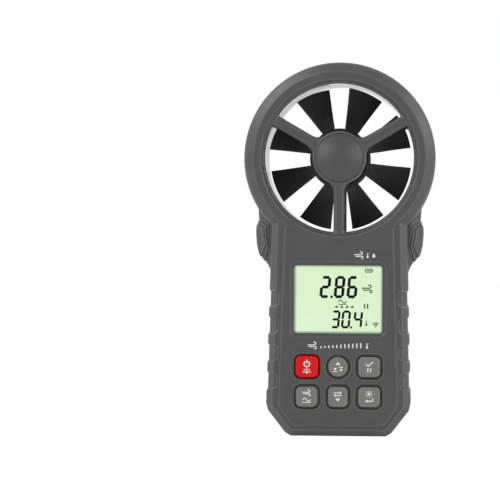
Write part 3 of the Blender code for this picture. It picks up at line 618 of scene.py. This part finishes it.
def cover_shape(x, y, z):
    """The battery cover with rounded corners, thumb ridges and two hooks."""
    plan = rounded_box(x, z - COVER_MID, COVER_HALF, COVER_HALF_TALL, 1.0)
    plate = smooth_max(plan, np.abs(y - 17.9) - 1.1, 0.4)
    arrow_z = z - (COVER_TOP - 12.0)
    reach = rounded_box(x, arrow_z, 7.6, 5.6, 2.0)
    ridges = 0.45 * (0.5 + 0.5 * np.cos(arrow_z * 2 * math.pi / 2.2))
    plate = smooth_max(plate, smooth_min(-reach, y - REAR + ridges + 0.05, 0.2), 0.2)
    for middle_x in (-7.5, 7.5):
        hook = block(x, y, z, (middle_x - 1.8, 16.1, 4.0), (middle_x + 1.8, 17.2, 5.0), 0.2)
        plate = np.minimum(plate, hook)
    return plate


# Materials

def linear(rgb):
    """An sRGB colour in 0..255 as linear red, green, blue and alpha."""
    shares = [c / 255.0 for c in rgb]
    return [c / 12.92 if c < 0.04 else ((c + 0.055) / 1.055) ** 2.4 for c in shares] + [1.0]


def tinted(colour, factor, lift=0.0):
    """A linear colour made darker or lighter."""
    return [min(1.0, c * factor + lift) for c in colour[:3]] + [1.0]


class Nodes:
    """A short way to build the node tree of a material or a world."""

    def __init__(self, owner, shader="Principled BSDF"):
        self.material = owner
        owner.use_nodes = True
        self.tree = owner.node_tree
        self.shader = self.tree.nodes[shader]
        self.coords = self.add("ShaderNodeTexCoord").outputs["Object"]

    def add(self, kind, **values):
        """A new node with its settings and inputs given by name."""
        node = self.tree.nodes.new(kind)
        for key, value in values.items():
            if hasattr(node, key):
                setattr(node, key, value)
            else:
                self.put(value, node.inputs[key.replace("_", " ")])
        return node

    def put(self, value, target):
        """Gives an input a value or another node's output."""
        if isinstance(value, bpy.types.NodeSocket):
            self.tree.links.new(value, target)
        else:
            target.default_value = value

    def surface(self, **values):
        """Gives the shader's inputs their values."""
        for key, value in values.items():
            self.put(value, self.shader.inputs[key.replace("_", " ")])

    def place(self, axis):
        """One coordinate of the object's own space."""
        return self.add("ShaderNodeSeparateXYZ", Vector=self.coords).outputs[axis]

    def noise(self, scale, detail=4.0):
        inputs = {"Vector": self.coords, "Scale": scale, "Detail": detail, "Roughness": 0.55}
        return self.add("ShaderNodeTexNoise", **inputs).outputs["Fac"]

    def spread(self, source, low_value, high_value, from_low=0.3, from_high=0.7):
        """Maps a texture value to a range."""
        ends = {"From_Min": from_low, "From_Max": from_high, "To_Min": low_value, "To_Max": high_value}
        return self.add("ShaderNodeMapRange", Value=source, **ends).outputs["Result"]

    def cloud(self, scale, low_value=0.0, high_value=1.0, detail=4.0):
        """Soft noise between two values."""
        return self.spread(self.noise(scale, detail), low_value, high_value)

    def math(self, operation, *values):
        node = self.add("ShaderNodeMath", operation=operation)
        for value, target in zip(values, node.inputs):
            self.put(value, target)
        return node.outputs[0]

    def mix(self, factor, first, second, kind="RGBA", blend_type="MIX"):
        """Mixes two colours or two numbers."""
        node = self.add("ShaderNodeMix", data_type=kind, blend_type=blend_type, Factor=factor)
        first_input, result = (6, 2) if kind == "RGBA" else (2, 0)
        self.put(first, node.inputs[first_input])
        self.put(second, node.inputs[first_input + 1])
        return node.outputs[result]

    def mix_shaders(self, factor, first, second):
        """Two shaders mixed, as the material's surface."""
        mix = self.add("ShaderNodeMixShader", Fac=factor)
        self.put(first.outputs[0], mix.inputs[1])
        self.put(second.outputs[0], mix.inputs[2])
        self.put(mix.outputs[0], self.tree.nodes["Material Output"].inputs["Surface"])

    def bump(self, height, distance, strength=0.5):
        node = self.add("ShaderNodeBump", Height=height, Distance=distance, Strength=strength)
        self.surface(Normal=node.outputs["Normal"])


def new_look(name):
    return Nodes(bpy.data.materials.new(name))


def plastic(name, rgb, roughness=0.42, grain=3500.0, depth=0.00004, edge_highlight=0.35, specular=0.34):
    """Moulded plastic or rubber: fine grain, cloudy colour and roughness, a painted highlight along outer
    edges and painted shade in creases.
    """
    n = new_look(name)
    base = linear(rgb)
    tone = n.mix(n.cloud(60.0, detail=5.0), tinted(base, 0.93), tinted(base, 1.07))
    speck = n.mix(n.cloud(grain * 0.6, detail=2.0), [0.94] * 3 + [1.0], [1.06] * 3 + [1.0])
    speckled = n.mix(1.0, tone, speck, blend_type="MULTIPLY")
    turn = n.add("ShaderNodeAttribute", attribute_name="edge").outputs["Fac"]
    # painted highlight: outer edges made paler by their curvature, standing in for the light lines that
    # bevels catch
    painted_edge_highlight = n.mix(n.spread(turn, 0.0, edge_highlight, 0.25, 1.4), speckled, tinted(base, 2.6, 0.02))
    # painted shade: creases and inner corners darkened by their curvature
    painted_crease_shade = n.mix(n.spread(turn, 0.25, 0.0, -1.6, -0.3), painted_edge_highlight, tinted(base, 0.35))
    rough = n.cloud(140.0, roughness - 0.06, roughness + 0.06, 3.0)
    n.surface(Base_Color=painted_crease_shade, Roughness=rough, Specular_IOR_Level=specular)
    n.bump(n.noise(grain, 2.0), depth)
    return n


def duct_plastic(name, rgb):
    """Case plastic that turns smooth and shiny, with faint rings, on the duct's wall."""
    n = plastic(name, rgb)
    up = n.math("SUBTRACT", n.place("Z"), AXIS_Z * MM)
    out = n.math("ADD", n.math("POWER", n.place("X"), 2.0), n.math("POWER", up, 2.0))
    near = 2 * DUCT_R * MM * 0.1 * MM
    wall = n.math("COMPARE", out, (DUCT_R * MM) ** 2, near)
    n.surface(Roughness=n.mix(wall, 0.38, 0.05, "FLOAT"))
    n.surface(Specular_IOR_Level=n.spread(wall, 0.34, 1.0, 0.0, 1.0))
    rings = n.add("ShaderNodeTexWave", Vector=n.coords, bands_direction="Y", Scale=70.0, Distortion=0.4)
    height = n.mix(wall, n.noise(3500.0, 2.0), rings.outputs["Fac"], "FLOAT")
    n.bump(height, 0.00012, 0.35)
    return n


def metal(name, rgb, roughness=0.3):
    """Turned or plated metal with fine scratches."""
    n = new_look(name)
    base = linear(rgb)
    colour = n.mix(n.cloud(900.0, detail=6.0), tinted(base, 0.8), base)
    rough = n.cloud(400.0, roughness - 0.08, roughness + 0.12)
    n.surface(Base_Color=colour, Roughness=rough, Metallic=1.0)
    n.bump(n.noise(2500.0), 0.00002)
    return n


def battery_wrap(name):
    """A battery's printed wrap: black with a copper foot and a bright seam at each end."""
    n = metal(name, (52, 54, 60), 0.36)
    steel = linear((190, 190, 192))
    colour = n.mix(n.cloud(300.0), linear((26, 27, 30)), linear((34, 35, 39)))
    for top, below in ((COPPER_TOP, linear((188, 112, 58))), (FOOT_TOP, steel)):
        share = n.spread(n.place("Z"), 1.0, 0.0, top * MM, (top + 0.1) * MM)
        colour = n.mix(share, colour, below)
    share = n.spread(n.place("Z"), 0.0, 1.0, HEAD_LOW * MM, (HEAD_LOW + 0.1) * MM)
    n.surface(Base_Color=n.mix(share, colour, steel), Metallic=0.7)
    return n


def circuit_board(name):
    """Green solder mask over faint copper tracks."""
    n = new_look(name)
    tracks = n.add("ShaderNodeTexBrick", Vector=n.coords, Scale=220.0)
    for key, rgb in (("Color1", (22, 84, 48)), ("Color2", (26, 92, 54)), ("Mortar", (52, 128, 78))):
        tracks.inputs[key].default_value = linear(rgb)
    n.surface(Base_Color=tracks.outputs["Color"], Roughness=n.cloud(300.0, 0.28, 0.42))
    n.bump(tracks.outputs["Fac"], 0.00003)
    return n


def display_glow(name):
    """The lit display: pale green, a little darker and softer towards the window's edge, partly as the
    backlight's falloff and partly as painted shade from the sunken frame.
    """
    n = new_look(name)
    edges = []
    for axis, centre, half in (("X", WINDOW_X, WINDOW_HALF_W), ("Z", WINDOW_Z, WINDOW_HALF_H)):
        away = n.math("ABSOLUTE", n.math("SUBTRACT", n.place(axis), centre * MM))
        edges.append(n.math("SUBTRACT", half * MM, away))
    # painted shade from the sunken frame, together with the backlight's falloff: glow and colour darken
    # over the last 0.8 mm towards the window's edge
    inner = n.spread(n.math("MINIMUM", *edges), 0.0, 1.0, 0.0, 0.8 * MM)
    green = n.mix(n.cloud(40.0), linear((219, 241, 203)), linear((223, 243, 209)))
    n.surface(
        Emission_Color=n.mix(inner, linear((150, 168, 138)), green),
        Emission_Strength=0.94,
        Base_Color=n.mix(inner, linear((60, 70, 55)), linear((100, 112, 92))),
        Roughness=n.cloud(200.0, 0.3, 0.4),
    )
    return n


def clear_window(name):
    """Clear plastic: mostly see-through, with a faint reflection and hairline scratches."""
    n = new_look(name)
    see = n.add("ShaderNodeBsdfTransparent", Color=(0.98, 0.99, 0.98, 1.0))
    scratches = n.cloud(900.0, 0.02, 0.08)
    shine = n.add("ShaderNodeBsdfGlossy", Color=(0.3, 0.3, 0.3, 1.0), Roughness=scratches)
    fresnel = n.add("ShaderNodeFresnel", IOR=1.35)
    n.mix_shaders(fresnel.outputs[0], see, shine)
    n.tree.nodes.remove(n.shader)
    return n


def ink(name, rgb, roughness=0.45, specular=0.5):
    """Printed ink: slightly uneven cover."""
    n = new_look(name)
    base = linear(rgb)
    colour = n.mix(n.cloud(2500.0), tinted(base, 0.94), base)
    rough = n.cloud(1200.0, roughness - 0.05, roughness + 0.05)
    n.surface(Base_Color=colour, Roughness=rough, Specular_IOR_Level=specular)
    return n


CASE_RGB = (76, 76, 77)
LOOKS = {
    "case_plastic": plastic("case_plastic_look", CASE_RGB),
    "pad_rubber": plastic("pad_rubber_look", (79, 79, 80), 0.62, 2600.0, 0.00008),
    "vane_plastic": plastic("vane_plastic_look", (58, 58, 58), 0.55, 2500.0, 0.00002, 0.06, 0.14),
    "steel": metal("steel_look", (165, 165, 168)),
    "brass": metal("brass_look", (196, 158, 88), 0.28),
    "magnet": metal("magnet_look", (70, 70, 74), 0.42),
    "board_laminate": circuit_board("board_look"),
    "black_plastic": plastic("black_plastic_look", (26, 26, 28), 0.5),
    "red_lead": plastic("red_lead_look", (180, 28, 28), 0.4),
    "mat_rubber": plastic("mat_rubber_look", (44, 44, 46), 0.75),
    "contact_carbon": plastic("carbon_look", (22, 22, 24), 0.85),
    "key_red": plastic("key_red_look", (214, 14, 22), 0.5, 2600.0, 0.00004, 0.05, 0.17),
    "key_grey": plastic("key_grey_look", (122, 121, 119), 0.5, 2600.0, 0.00005, 0.05, 0.2),
    "window_plastic": clear_window("window_look"),
    "display_glass": display_glow("display_look"),
    "diffuser_plastic": plastic("diffuser_look", (232, 238, 230), 0.35),
    "foam": plastic("foam_look", (48, 48, 50), 0.95, 900.0, 0.0003),
    "battery_label": battery_wrap("battery_look"),
    "thermistor_glass": plastic("thermistor_look", (30, 30, 33), 0.3),
}
DUCT_LOOK = duct_plastic("duct_plastic_look", CASE_RGB)
WHITE_INK = ink("white_ink_look", (238, 238, 236))
BLACK_INK = ink("segment_look", (3, 4, 3), 0.9, 0.0)


# Pieces

def settle_piece(obj, body, slot, *nodes):
    """Gives a piece its body and hides the CAD nodes it stands for; the slot argument is not used."""
    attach(obj, body)
    if nodes:
        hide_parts(*nodes)


def moulded_piece(name, node, field, low_corner, high_corner, step, body="case", look=None):
    """A moulded piece that stands for a CAD node."""
    obj = mould(name, field, low_corner, high_corner, step, look or LOOKS[SLOTS[node]])
    settle_piece(obj, body, SLOTS[node], node)


def dress_cad_nodes():
    """Every CAD node takes the procedural look of its own slot."""
    for node, slot in SLOTS.items():
        materials = frame["nodes"][node].data.materials
        materials.clear()
        materials.append(LOOKS[slot].material)


def make_case():
    x, top = RING_R, AXIS_Z + RING_R
    front = (-x, -FRONT, 0.0), (x, -SPLIT, top)
    moulded_piece("front_shell", "front_case", front_case_shape, *front, SHELL_STEP)
    rear = (-x, -4.2, 0.0), (x, REAR, top)
    moulded_piece("rear_shell", "rear_case", rear_case_shape, *rear, SHELL_STEP)
    for node, hand in (("left_side_pad", -1), ("right_side_pad", 1)):
        inner, outer = sorted((hand * 30.5, hand * 37.8))
        pad = (inner, -11.0, 76.0), (outer, 11.0, 95.0)
        moulded_piece(node + "_rubber", node, pad_shape(hand), *pad, 0.4)
    cover = (-COVER_HALF, 16.0, 3.8), (COVER_HALF, REAR, COVER_TOP)
    moulded_piece("battery_cover_shell", "battery_cover", cover_shape, *cover, 0.5, "battery_door")


def battery_shape(x, y, z):
    """A nine volt block with rounded edges, a rim seam near its top and two round terminals."""
    top = low("battery", 2) + BATTERY_TALL
    plan = rounded_box(x, y - BATTERY_Y, size("battery", 0) / 2, size("battery", 1) / 2, 2.6)
    can = smooth_max(plan, np.abs(z - top + BATTERY_TALL / 2) - BATTERY_TALL / 2, 0.6)
    can = smooth_max(can, -np.maximum(np.abs(z - top + 1.5) - 0.3, -0.3 - plan), 0.2)
    for post_x, radius in POSTS:
        post = np.hypot(x - post_x, y - BATTERY_Y) - radius
        can = np.minimum(can, smooth_max(post, np.abs(z - top) - 2.4, 0.3))
    return can


def make_battery():
    moulded_piece("battery_block", "battery", battery_shape, *corners("battery"), 0.6)


def make_duct():
    r = DUCT_OUT_R
    shape = guard_shape(-1, HUB_FACE_FRONT + 0.2, HUB_FACE_FRONT, DOME_RISE_FRONT)
    front = (-r, -19.0, AXIS_Z - r), (r, -SPLIT, AXIS_Z + r)
    moulded_piece("front_guard_shell", "front_guard", shape, *front, 0.5, look=DUCT_LOOK)
    shape = guard_shape(1, HUB_FACE_REAR + 1.0, HUB_FACE_REAR, DOME_RISE_REAR)
    rear = (-r, SPLIT, AXIS_Z - r), (r, 19.2, AXIS_Z + r)
    moulded_piece("rear_guard_shell", "rear_guard", shape, *rear, 0.5, look=DUCT_LOOK)
    axis = (0.0, 0.0, AXIS_Z)
    wheel = make_object("impeller_vanes", *impeller_parts(), LOOKS["vane_plastic"], axis)
    sharpen(wheel, 40)
    settle_piece(wheel, "rotor", "vane_plastic", "impeller")


# Flat prints; outlines are in millimetres as (right, up)

def round_point(cx, cz, radius, turn):
    return cx + radius * math.cos(turn), cz + radius * math.sin(turn)


def dot(cx, cz, radius):
    return [round_point(cx, cz, radius, 2 * math.pi * i / 12) for i in range(12)]


def stroke(points, width):
    """A line of even width with round ends, as one outline for each step."""
    outlines = []
    for (ax, az), (bx, bz) in zip(points, points[1:]):
        heading = math.atan2(bz - az, bx - ax)
        outline = []
        for cx, cz, start in ((bx, bz, -90), (ax, az, 90)):
            turns = [heading + math.radians(start + 45 * i) for i in range(5)]
            outline += [round_point(cx, cz, width / 2, t) for t in turns]
        outlines.append(outline)
    return outlines


def arc(cx, cz, radius, start, end, width, steps=10):
    """Part of a circle, angles anticlockwise from the right in degrees."""
    turns = [math.radians(start + (end - start) * i / steps) for i in range(steps + 1)]
    return stroke([round_point(cx, cz, radius, t) for t in turns], width)


def rays(angles, inner, outer):
    """Short strokes that point away from the middle."""
    shapes = []
    for turn in map(math.radians, angles):
        shapes += stroke([round_point(0, 0, inner, turn), round_point(0, 0, outer, turn)], 0.34)
    return shapes


def limit(x, way):
    """An arrow that points at a line, up or down."""
    arrow = [(x - 0.8, -0.6 * way), (x + 0.8, -0.6 * way), (x, 0.5 * way)][::way]
    return [arrow] + stroke([(x - 0.8, 0.95 * way), (x + 0.8, 0.95 * way)], 0.4)


def side_arrow(z, way):
    tip = 1.8 * way
    head = [(tip, z), (tip - 1.0 * way, z + 0.65), (tip - 1.0 * way, z - 0.65)][::way]
    return stroke([(-1.7, z), (1.5, z)], 0.4) + [head]


def wind():
    """Two gusts with curled ends."""
    shapes = stroke([(-1.9, 0.25), (0.9, 0.25)], 0.42) + arc(0.9, 0.85, 0.6, -90, 130, 0.42)
    return shapes + stroke([(-1.5, -0.5), (1.2, -0.5)], 0.42) + arc(1.2, -1.0, 0.5, 90, -110, 0.42)


def thermometer():
    tube = stroke([(0, -0.4), (0, 1.0)], 0.42)
    return tube + [dot(0, -0.8, 0.55)] + stroke([(0.55, 0.9), (0.9, 0.9)], 0.2)


def average():
    """One full wave over a line."""
    curve = [(3.8 * i / 12 - 1.9, 0.1 + 0.75 * math.sin(2 * math.pi * i / 12)) for i in range(13)]
    return stroke(curve, 0.45) + stroke([(-1.9, -1.25), (1.9, -1.25)], 0.36)


def battery_level():
    can = stroke([(-1.2, -0.6), (1.1, -0.6), (1.1, 0.6), (-1.2, 0.6), (-1.2, -0.6)], 0.24)
    bars = [[(x, -0.3), (x + 0.4, -0.3), (x + 0.4, 0.3), (x, 0.3)] for x in (-0.85, -0.25, 0.35)]
    return can + stroke([(1.4, -0.25), (1.4, 0.25)], 0.25) + bars


def radio():
    shapes = [dot(0, -1.0, 0.25)]
    for radius in (0.75, 1.35, 1.95):
        shapes += arc(0, -1.0, radius, 50, 130, 0.34, 6)
    return shapes


def drop():
    turns = [math.radians(150 + 24 * i) for i in range(11)]
    return [[(0, 1.2)] + [round_point(0, -0.35, 0.75, t) for t in turns]]


ENTER_HEAD = [(-1.8, -0.35), (-0.7, -1.1), (-0.7, 0.4)]
SIGNS = {
    "power": arc(0, 0, 1.15, 125, 415, 0.42, 14) + stroke([(0, 0.1), (0, 1.55)], 0.42),
    "lamp": [dot(0, 0, 0.5)] + rays(range(0, 181, 45), 0.95, 1.4),
    "sun": [dot(0, 0, 0.6)] + rays(range(0, 360, 45), 1.05, 1.5),
    "up": [[(-1.2, -0.7), (1.2, -0.7), (0.0, 0.8)]],
    "down": [[(-1.2, 0.7), (0.0, -0.8), (1.2, 0.7)]],
    "limits": limit(-1.35, -1) + limit(1.35, 1),
    "tick": stroke([(-1.4, 0.0), (-0.4, -0.85), (1.5, 0.95)], 0.5),
    "pause": stroke([(-0.6, -0.75), (-0.6, 0.75)], 0.5) + stroke([(0.6, -0.75), (0.6, 0.75)], 0.5),
    "swap": side_arrow(0.55, 1) + side_arrow(-0.55, -1),
    "enter": stroke([(1.6, 0.9), (1.6, -0.35), (-0.8, -0.35)], 0.45) + [ENTER_HEAD],
    "wind": wind(),
    "average": average(),
    "thermometer": thermometer(),
    "drop": drop(),
    "battery": battery_level(),
    "radio": radio(),
}


def signs(*rows):
    """Outlines of several signs, each given by name, place and scale."""
    outlines = []
    for name, x, z, scale in rows:
        for outline in SIGNS[name]:
            outlines.append([(x + u * scale, z + v * scale) for u, v in outline])
    return outlines


def flat_print(name, outlines, front, thick, look, body="case", slot="display_glass"):
    """Thin raised print, its face at y = front; shapes that overlap lie a hair apart in depth."""
    points, faces = [], []
    for number, outline in enumerate(outlines):
        start, count = len(points), len(outline)
        face = front - 0.003 * (number % 8)
        points += [(x, face, z) for x, z in outline] + [(x, face + thick, z) for x, z in outline]
        faces.append(tuple(start + i for i in range(count)))
        faces.append(tuple(start + count + i for i in reversed(range(count))))
        for i in range(count):
            j = (i + 1) % count
            faces.append((start + j, start + i, start + count + i, start + count + j))
    obj = make_object(name, points, faces, look)
    sharpen(obj, 30)
    settle_piece(obj, body, slot)


# Seven-segment figures

FIGURES = {"0": "abcdef", "2": "abged", "3": "abgcd", "4": "fgbc", "6": "afgedc", "8": "abcdefg"}
SEGMENTS = {
    "a": ((0, 2), (1, 2)),
    "b": ((1, 2), (1, 1)),
    "c": ((1, 1), (1, 0)),
    "d": ((0, 0), (1, 0)),
    "e": ((0, 1), (0, 0)),
    "f": ((0, 2), (0, 1)),
    "g": ((0, 1), (1, 1)),
}
SLANT = 0.09


def figure(digit, x, z, width, height, line):
    """One slanted figure whose low left corner is at (x, z)."""
    half_line = line / 2
    span_u, span_v = width - line, (height - line) / 2
    gap, point = 0.1, half_line * 0.55
    shapes = []
    for name in FIGURES[digit]:
        ends = [(x + half_line + u * span_u, z + half_line + v * span_v) for u, v in SEGMENTS[name]]
        (ax, az), (bx, bz) = ends
        length = math.hypot(bx - ax, bz - az)
        cx, cz = (bx - ax) / length, (bz - az) / length
        there = [(gap, 0), (gap + point, 1), (length - gap - point, 1)]
        back = [(length - gap, 0), (length - gap - point, -1), (gap + point, -1)]
        outline = []
        for along, side in there + back:
            u = ax + cx * along - cz * side * half_line
            v = az + cz * along + cx * side * half_line
            outline.append((u + (v - z) * SLANT, v))
        shapes.append(outline)
    return shapes


def make_readout():
    """Two readings and small signs, just in front of the glass."""
    shapes = []
    top_z, low_z = 60.9, 47.6
    for digit, x in (("2", -8.65), ("8", -2.35), ("6", 3.3)):
        shapes += figure(digit, x, top_z, 4.55, 9.8, 1.3)
    shapes.append([(-3.7, top_z), (-2.7, top_z), (-2.6, top_z + 1.1), (-3.6, top_z + 1.1)])
    for digit, x in (("3", -3.65), ("0", 0.95), ("4", 6.25)):
        shapes += figure(digit, x, low_z, 3.9, 7.9, 1.02)
    shapes.append([(5.0, low_z), (5.9, low_z), (6.0, low_z + 0.9), (5.1, low_z + 0.9)])
    shapes += signs(("battery", 13.2, 73.1, 1.2), ("wind", 12.5, 65.1, 1.15), ("average", 1.6, 59.3, 0.9))
    for x in (-0.9, 1.4, 3.7, 6.0):
        shapes += signs(("up", x, 57.2, 0.7))
    shapes += signs(("pause", 12.1, 57.4, 1.1), ("thermometer", 12.2, 50.0, 0.9))
    shapes += signs(("radio", 16.3, 49.2, 1.0))
    flat_print("display_figures", shapes, low("lcd_glass", 1) - 0.1, 0.08, BLACK_INK)


def make_panel_print():
    """White signs above the display and a wind scale below it."""
    face = -FRONT - 0.03
    top = signs(("wind", 8.9, 79.9, 1.0), ("thermometer", 12.7, 79.9, 0.9), ("drop", 15.4, 79.8, 0.9))
    flat_print("top_signs", top, face, 0.1, WHITE_INK, slot="case_plastic")
    scale = signs(("wind", -11.3, 40.1, 1.0))
    for i in range(11):
        x = -7.6 + 1.75 * i
        scale += stroke([(x, 39.2), (x, 39.6 + 0.15 * i)], 0.55)
    scale += signs(("thermometer", 12.6, 40.1, 0.95))
    flat_print("wind_scale", scale, face, 0.1, WHITE_INK, slot="case_plastic")


def key_shape(name):
    """A key: pillowed cap with a soft edge, flange and stem."""
    inset = 0.05 if name == "key_power" else 0.25

    def field(x, y, z):
        plan = key_outline(name, x, z)
        inside = np.clip(-plan / 3.5, 0.0, 1.0)
        crown = (low(name, 1) - y + 0.25 - 0.25 * inside * (2.0 - inside)) * 0.98
        cap = smooth_max(smooth_max(plan + inset, crown, 1.0), y + KEY_FLANGE_DEEP, 0.2)
        flange = smooth_max(plan - KEY_FLANGE, np.abs(y + KEY_FLANGE_DEEP) - 0.5, 0.2)
        stem = smooth_max(plan + 1.9, np.abs(y + KEY_STEM_DEEP) - 2.2, 0.3)
        return np.minimum(np.minimum(cap, flange), stem)
    return field


KEY_SIGNS = {  # two signs on each key, their height from its middle and their scale
    "key_power": (("power", 1.2, 1.1), ("lamp", -2.4, 1.2)),
    "key_up": (("up", 1.5, 0.9), ("limits", -1.1, 0.95)),
    "key_set": (("tick", 1.2, 1.0), ("pause", -1.4, 1.0)),
    "key_average": (("wind", 1.7, 0.9), ("average", -1.4, 0.9)),
    "key_unit": (("swap", 1.2, 1.0), ("down", -1.3, 1.0)),
    "key_light": (("sun", 1.4, 0.95), ("enter", -1.4, 1.0)),
}


def make_keys():
    for name in KEYS:
        body = name.replace("key_", "button_")
        moulded_piece(name + "_cap", name, key_shape(name), *corners(name), 0.3, body)
        x, z = middle(name, 0), middle(name, 2)
        outlines = signs(*((sign, x, z + up, scale) for sign, up, scale in KEY_SIGNS[name]))
        flat_print(name + "_sign", outlines, low(name, 1) - 0.02, 0.3, WHITE_INK, body, SLOTS[name])


def main():
    dress_cad_nodes()
    make_case()
    make_duct()
    make_battery()
    make_keys()
    make_readout()
    make_panel_print()


def floor_look():
    """A pale matt floor that reads as white paper where the camera sees it."""
    n = ink("floor_look", (225, 225, 225), 0.8, 0.0)
    n.surface(Emission_Color=(1.0, 1.0, 1.0, 1.0), Emission_Strength=FLOOR_GLOW)
    seen = n.add("ShaderNodeLightPath").outputs["Is Camera Ray"]
    white = n.add("ShaderNodeEmission", Strength=1.0)
    n.mix_shaders(n.math("MULTIPLY", seen, FLOOR_WHITENESS), n.shader, white)
    return n.material


def make_stage():
    """A pale floor, a white world and soft lights."""
    bpy.context.scene.view_settings.view_transform = "Standard"
    floor_mesh = bpy.data.meshes.new("floor")
    r = FLOOR_HALF
    floor_mesh.from_pydata([(-r, -r, 0), (r, -r, 0), (r, r, 0), (-r, r, 0)], [], [(0, 1, 2, 3)])
    floor_mesh.materials.append(floor_look())
    new_object("floor", floor_mesh, (0.0, 0.0, -FLOOR_DROP))
    make_world()
    for name, (place, width, power, highlights_only) in LIGHTS.items():
        light = bpy.data.lights.new(name, "AREA")
        light.size = width
        light.energy = power
        lamp = new_object(name, light, place)
        lamp.visible_diffuse = not highlights_only
        aim = bpy.data.objects["camera_target"].location - lamp.location
        lamp.rotation_euler = aim.to_track_quat("-Z", "Y").to_euler()


def make_world():
    """White where the camera looks past the meter; a dimmer even sky lights the meter itself."""
    world = bpy.data.worlds.new("studio")
    bpy.context.scene.world = world
    n = Nodes(world, "Background")
    ray = n.add("ShaderNodeLightPath").outputs
    matt = n.math("MULTIPLY", ray["Is Diffuse Ray"], DIFFUSE_SKY)
    shiny = n.math("MULTIPLY", ray["Is Glossy Ray"], GLOSSY_SKY)
    level = n.math("MAXIMUM", n.math("MAXIMUM", matt, shiny), ray["Is Camera Ray"])
    n.surface(Color=(1.0, 1.0, 1.0, 1.0), Strength=level)


def make_camera():
    """A long lens square to the display; the meter stands right of the middle."""
    new_object("camera_target", None, (0.0, 0.0, EYE_HEIGHT))
    camera = bpy.data.cameras.new("camera")
    camera.lens = LENS
    camera.clip_start = 0.05
    camera.clip_end = 50.0
    eye = new_object("camera", camera, (EYE_RIGHT, -EYE_AWAY, EYE_HEIGHT))
    heading = math.atan2(EYE_RIGHT - AIM_X, EYE_AWAY - FRONT * MM)
    aim = Euler((math.radians(90.0), 0.0, heading))
    roll = Matrix.Rotation(math.radians(ROLL_DEGREES), 4, "Z")
    eye.rotation_euler = (aim.to_matrix().to_4x4() @ roll).to_euler()
    bpy.context.scene.camera = eye


make_camera()
make_stage()
main()
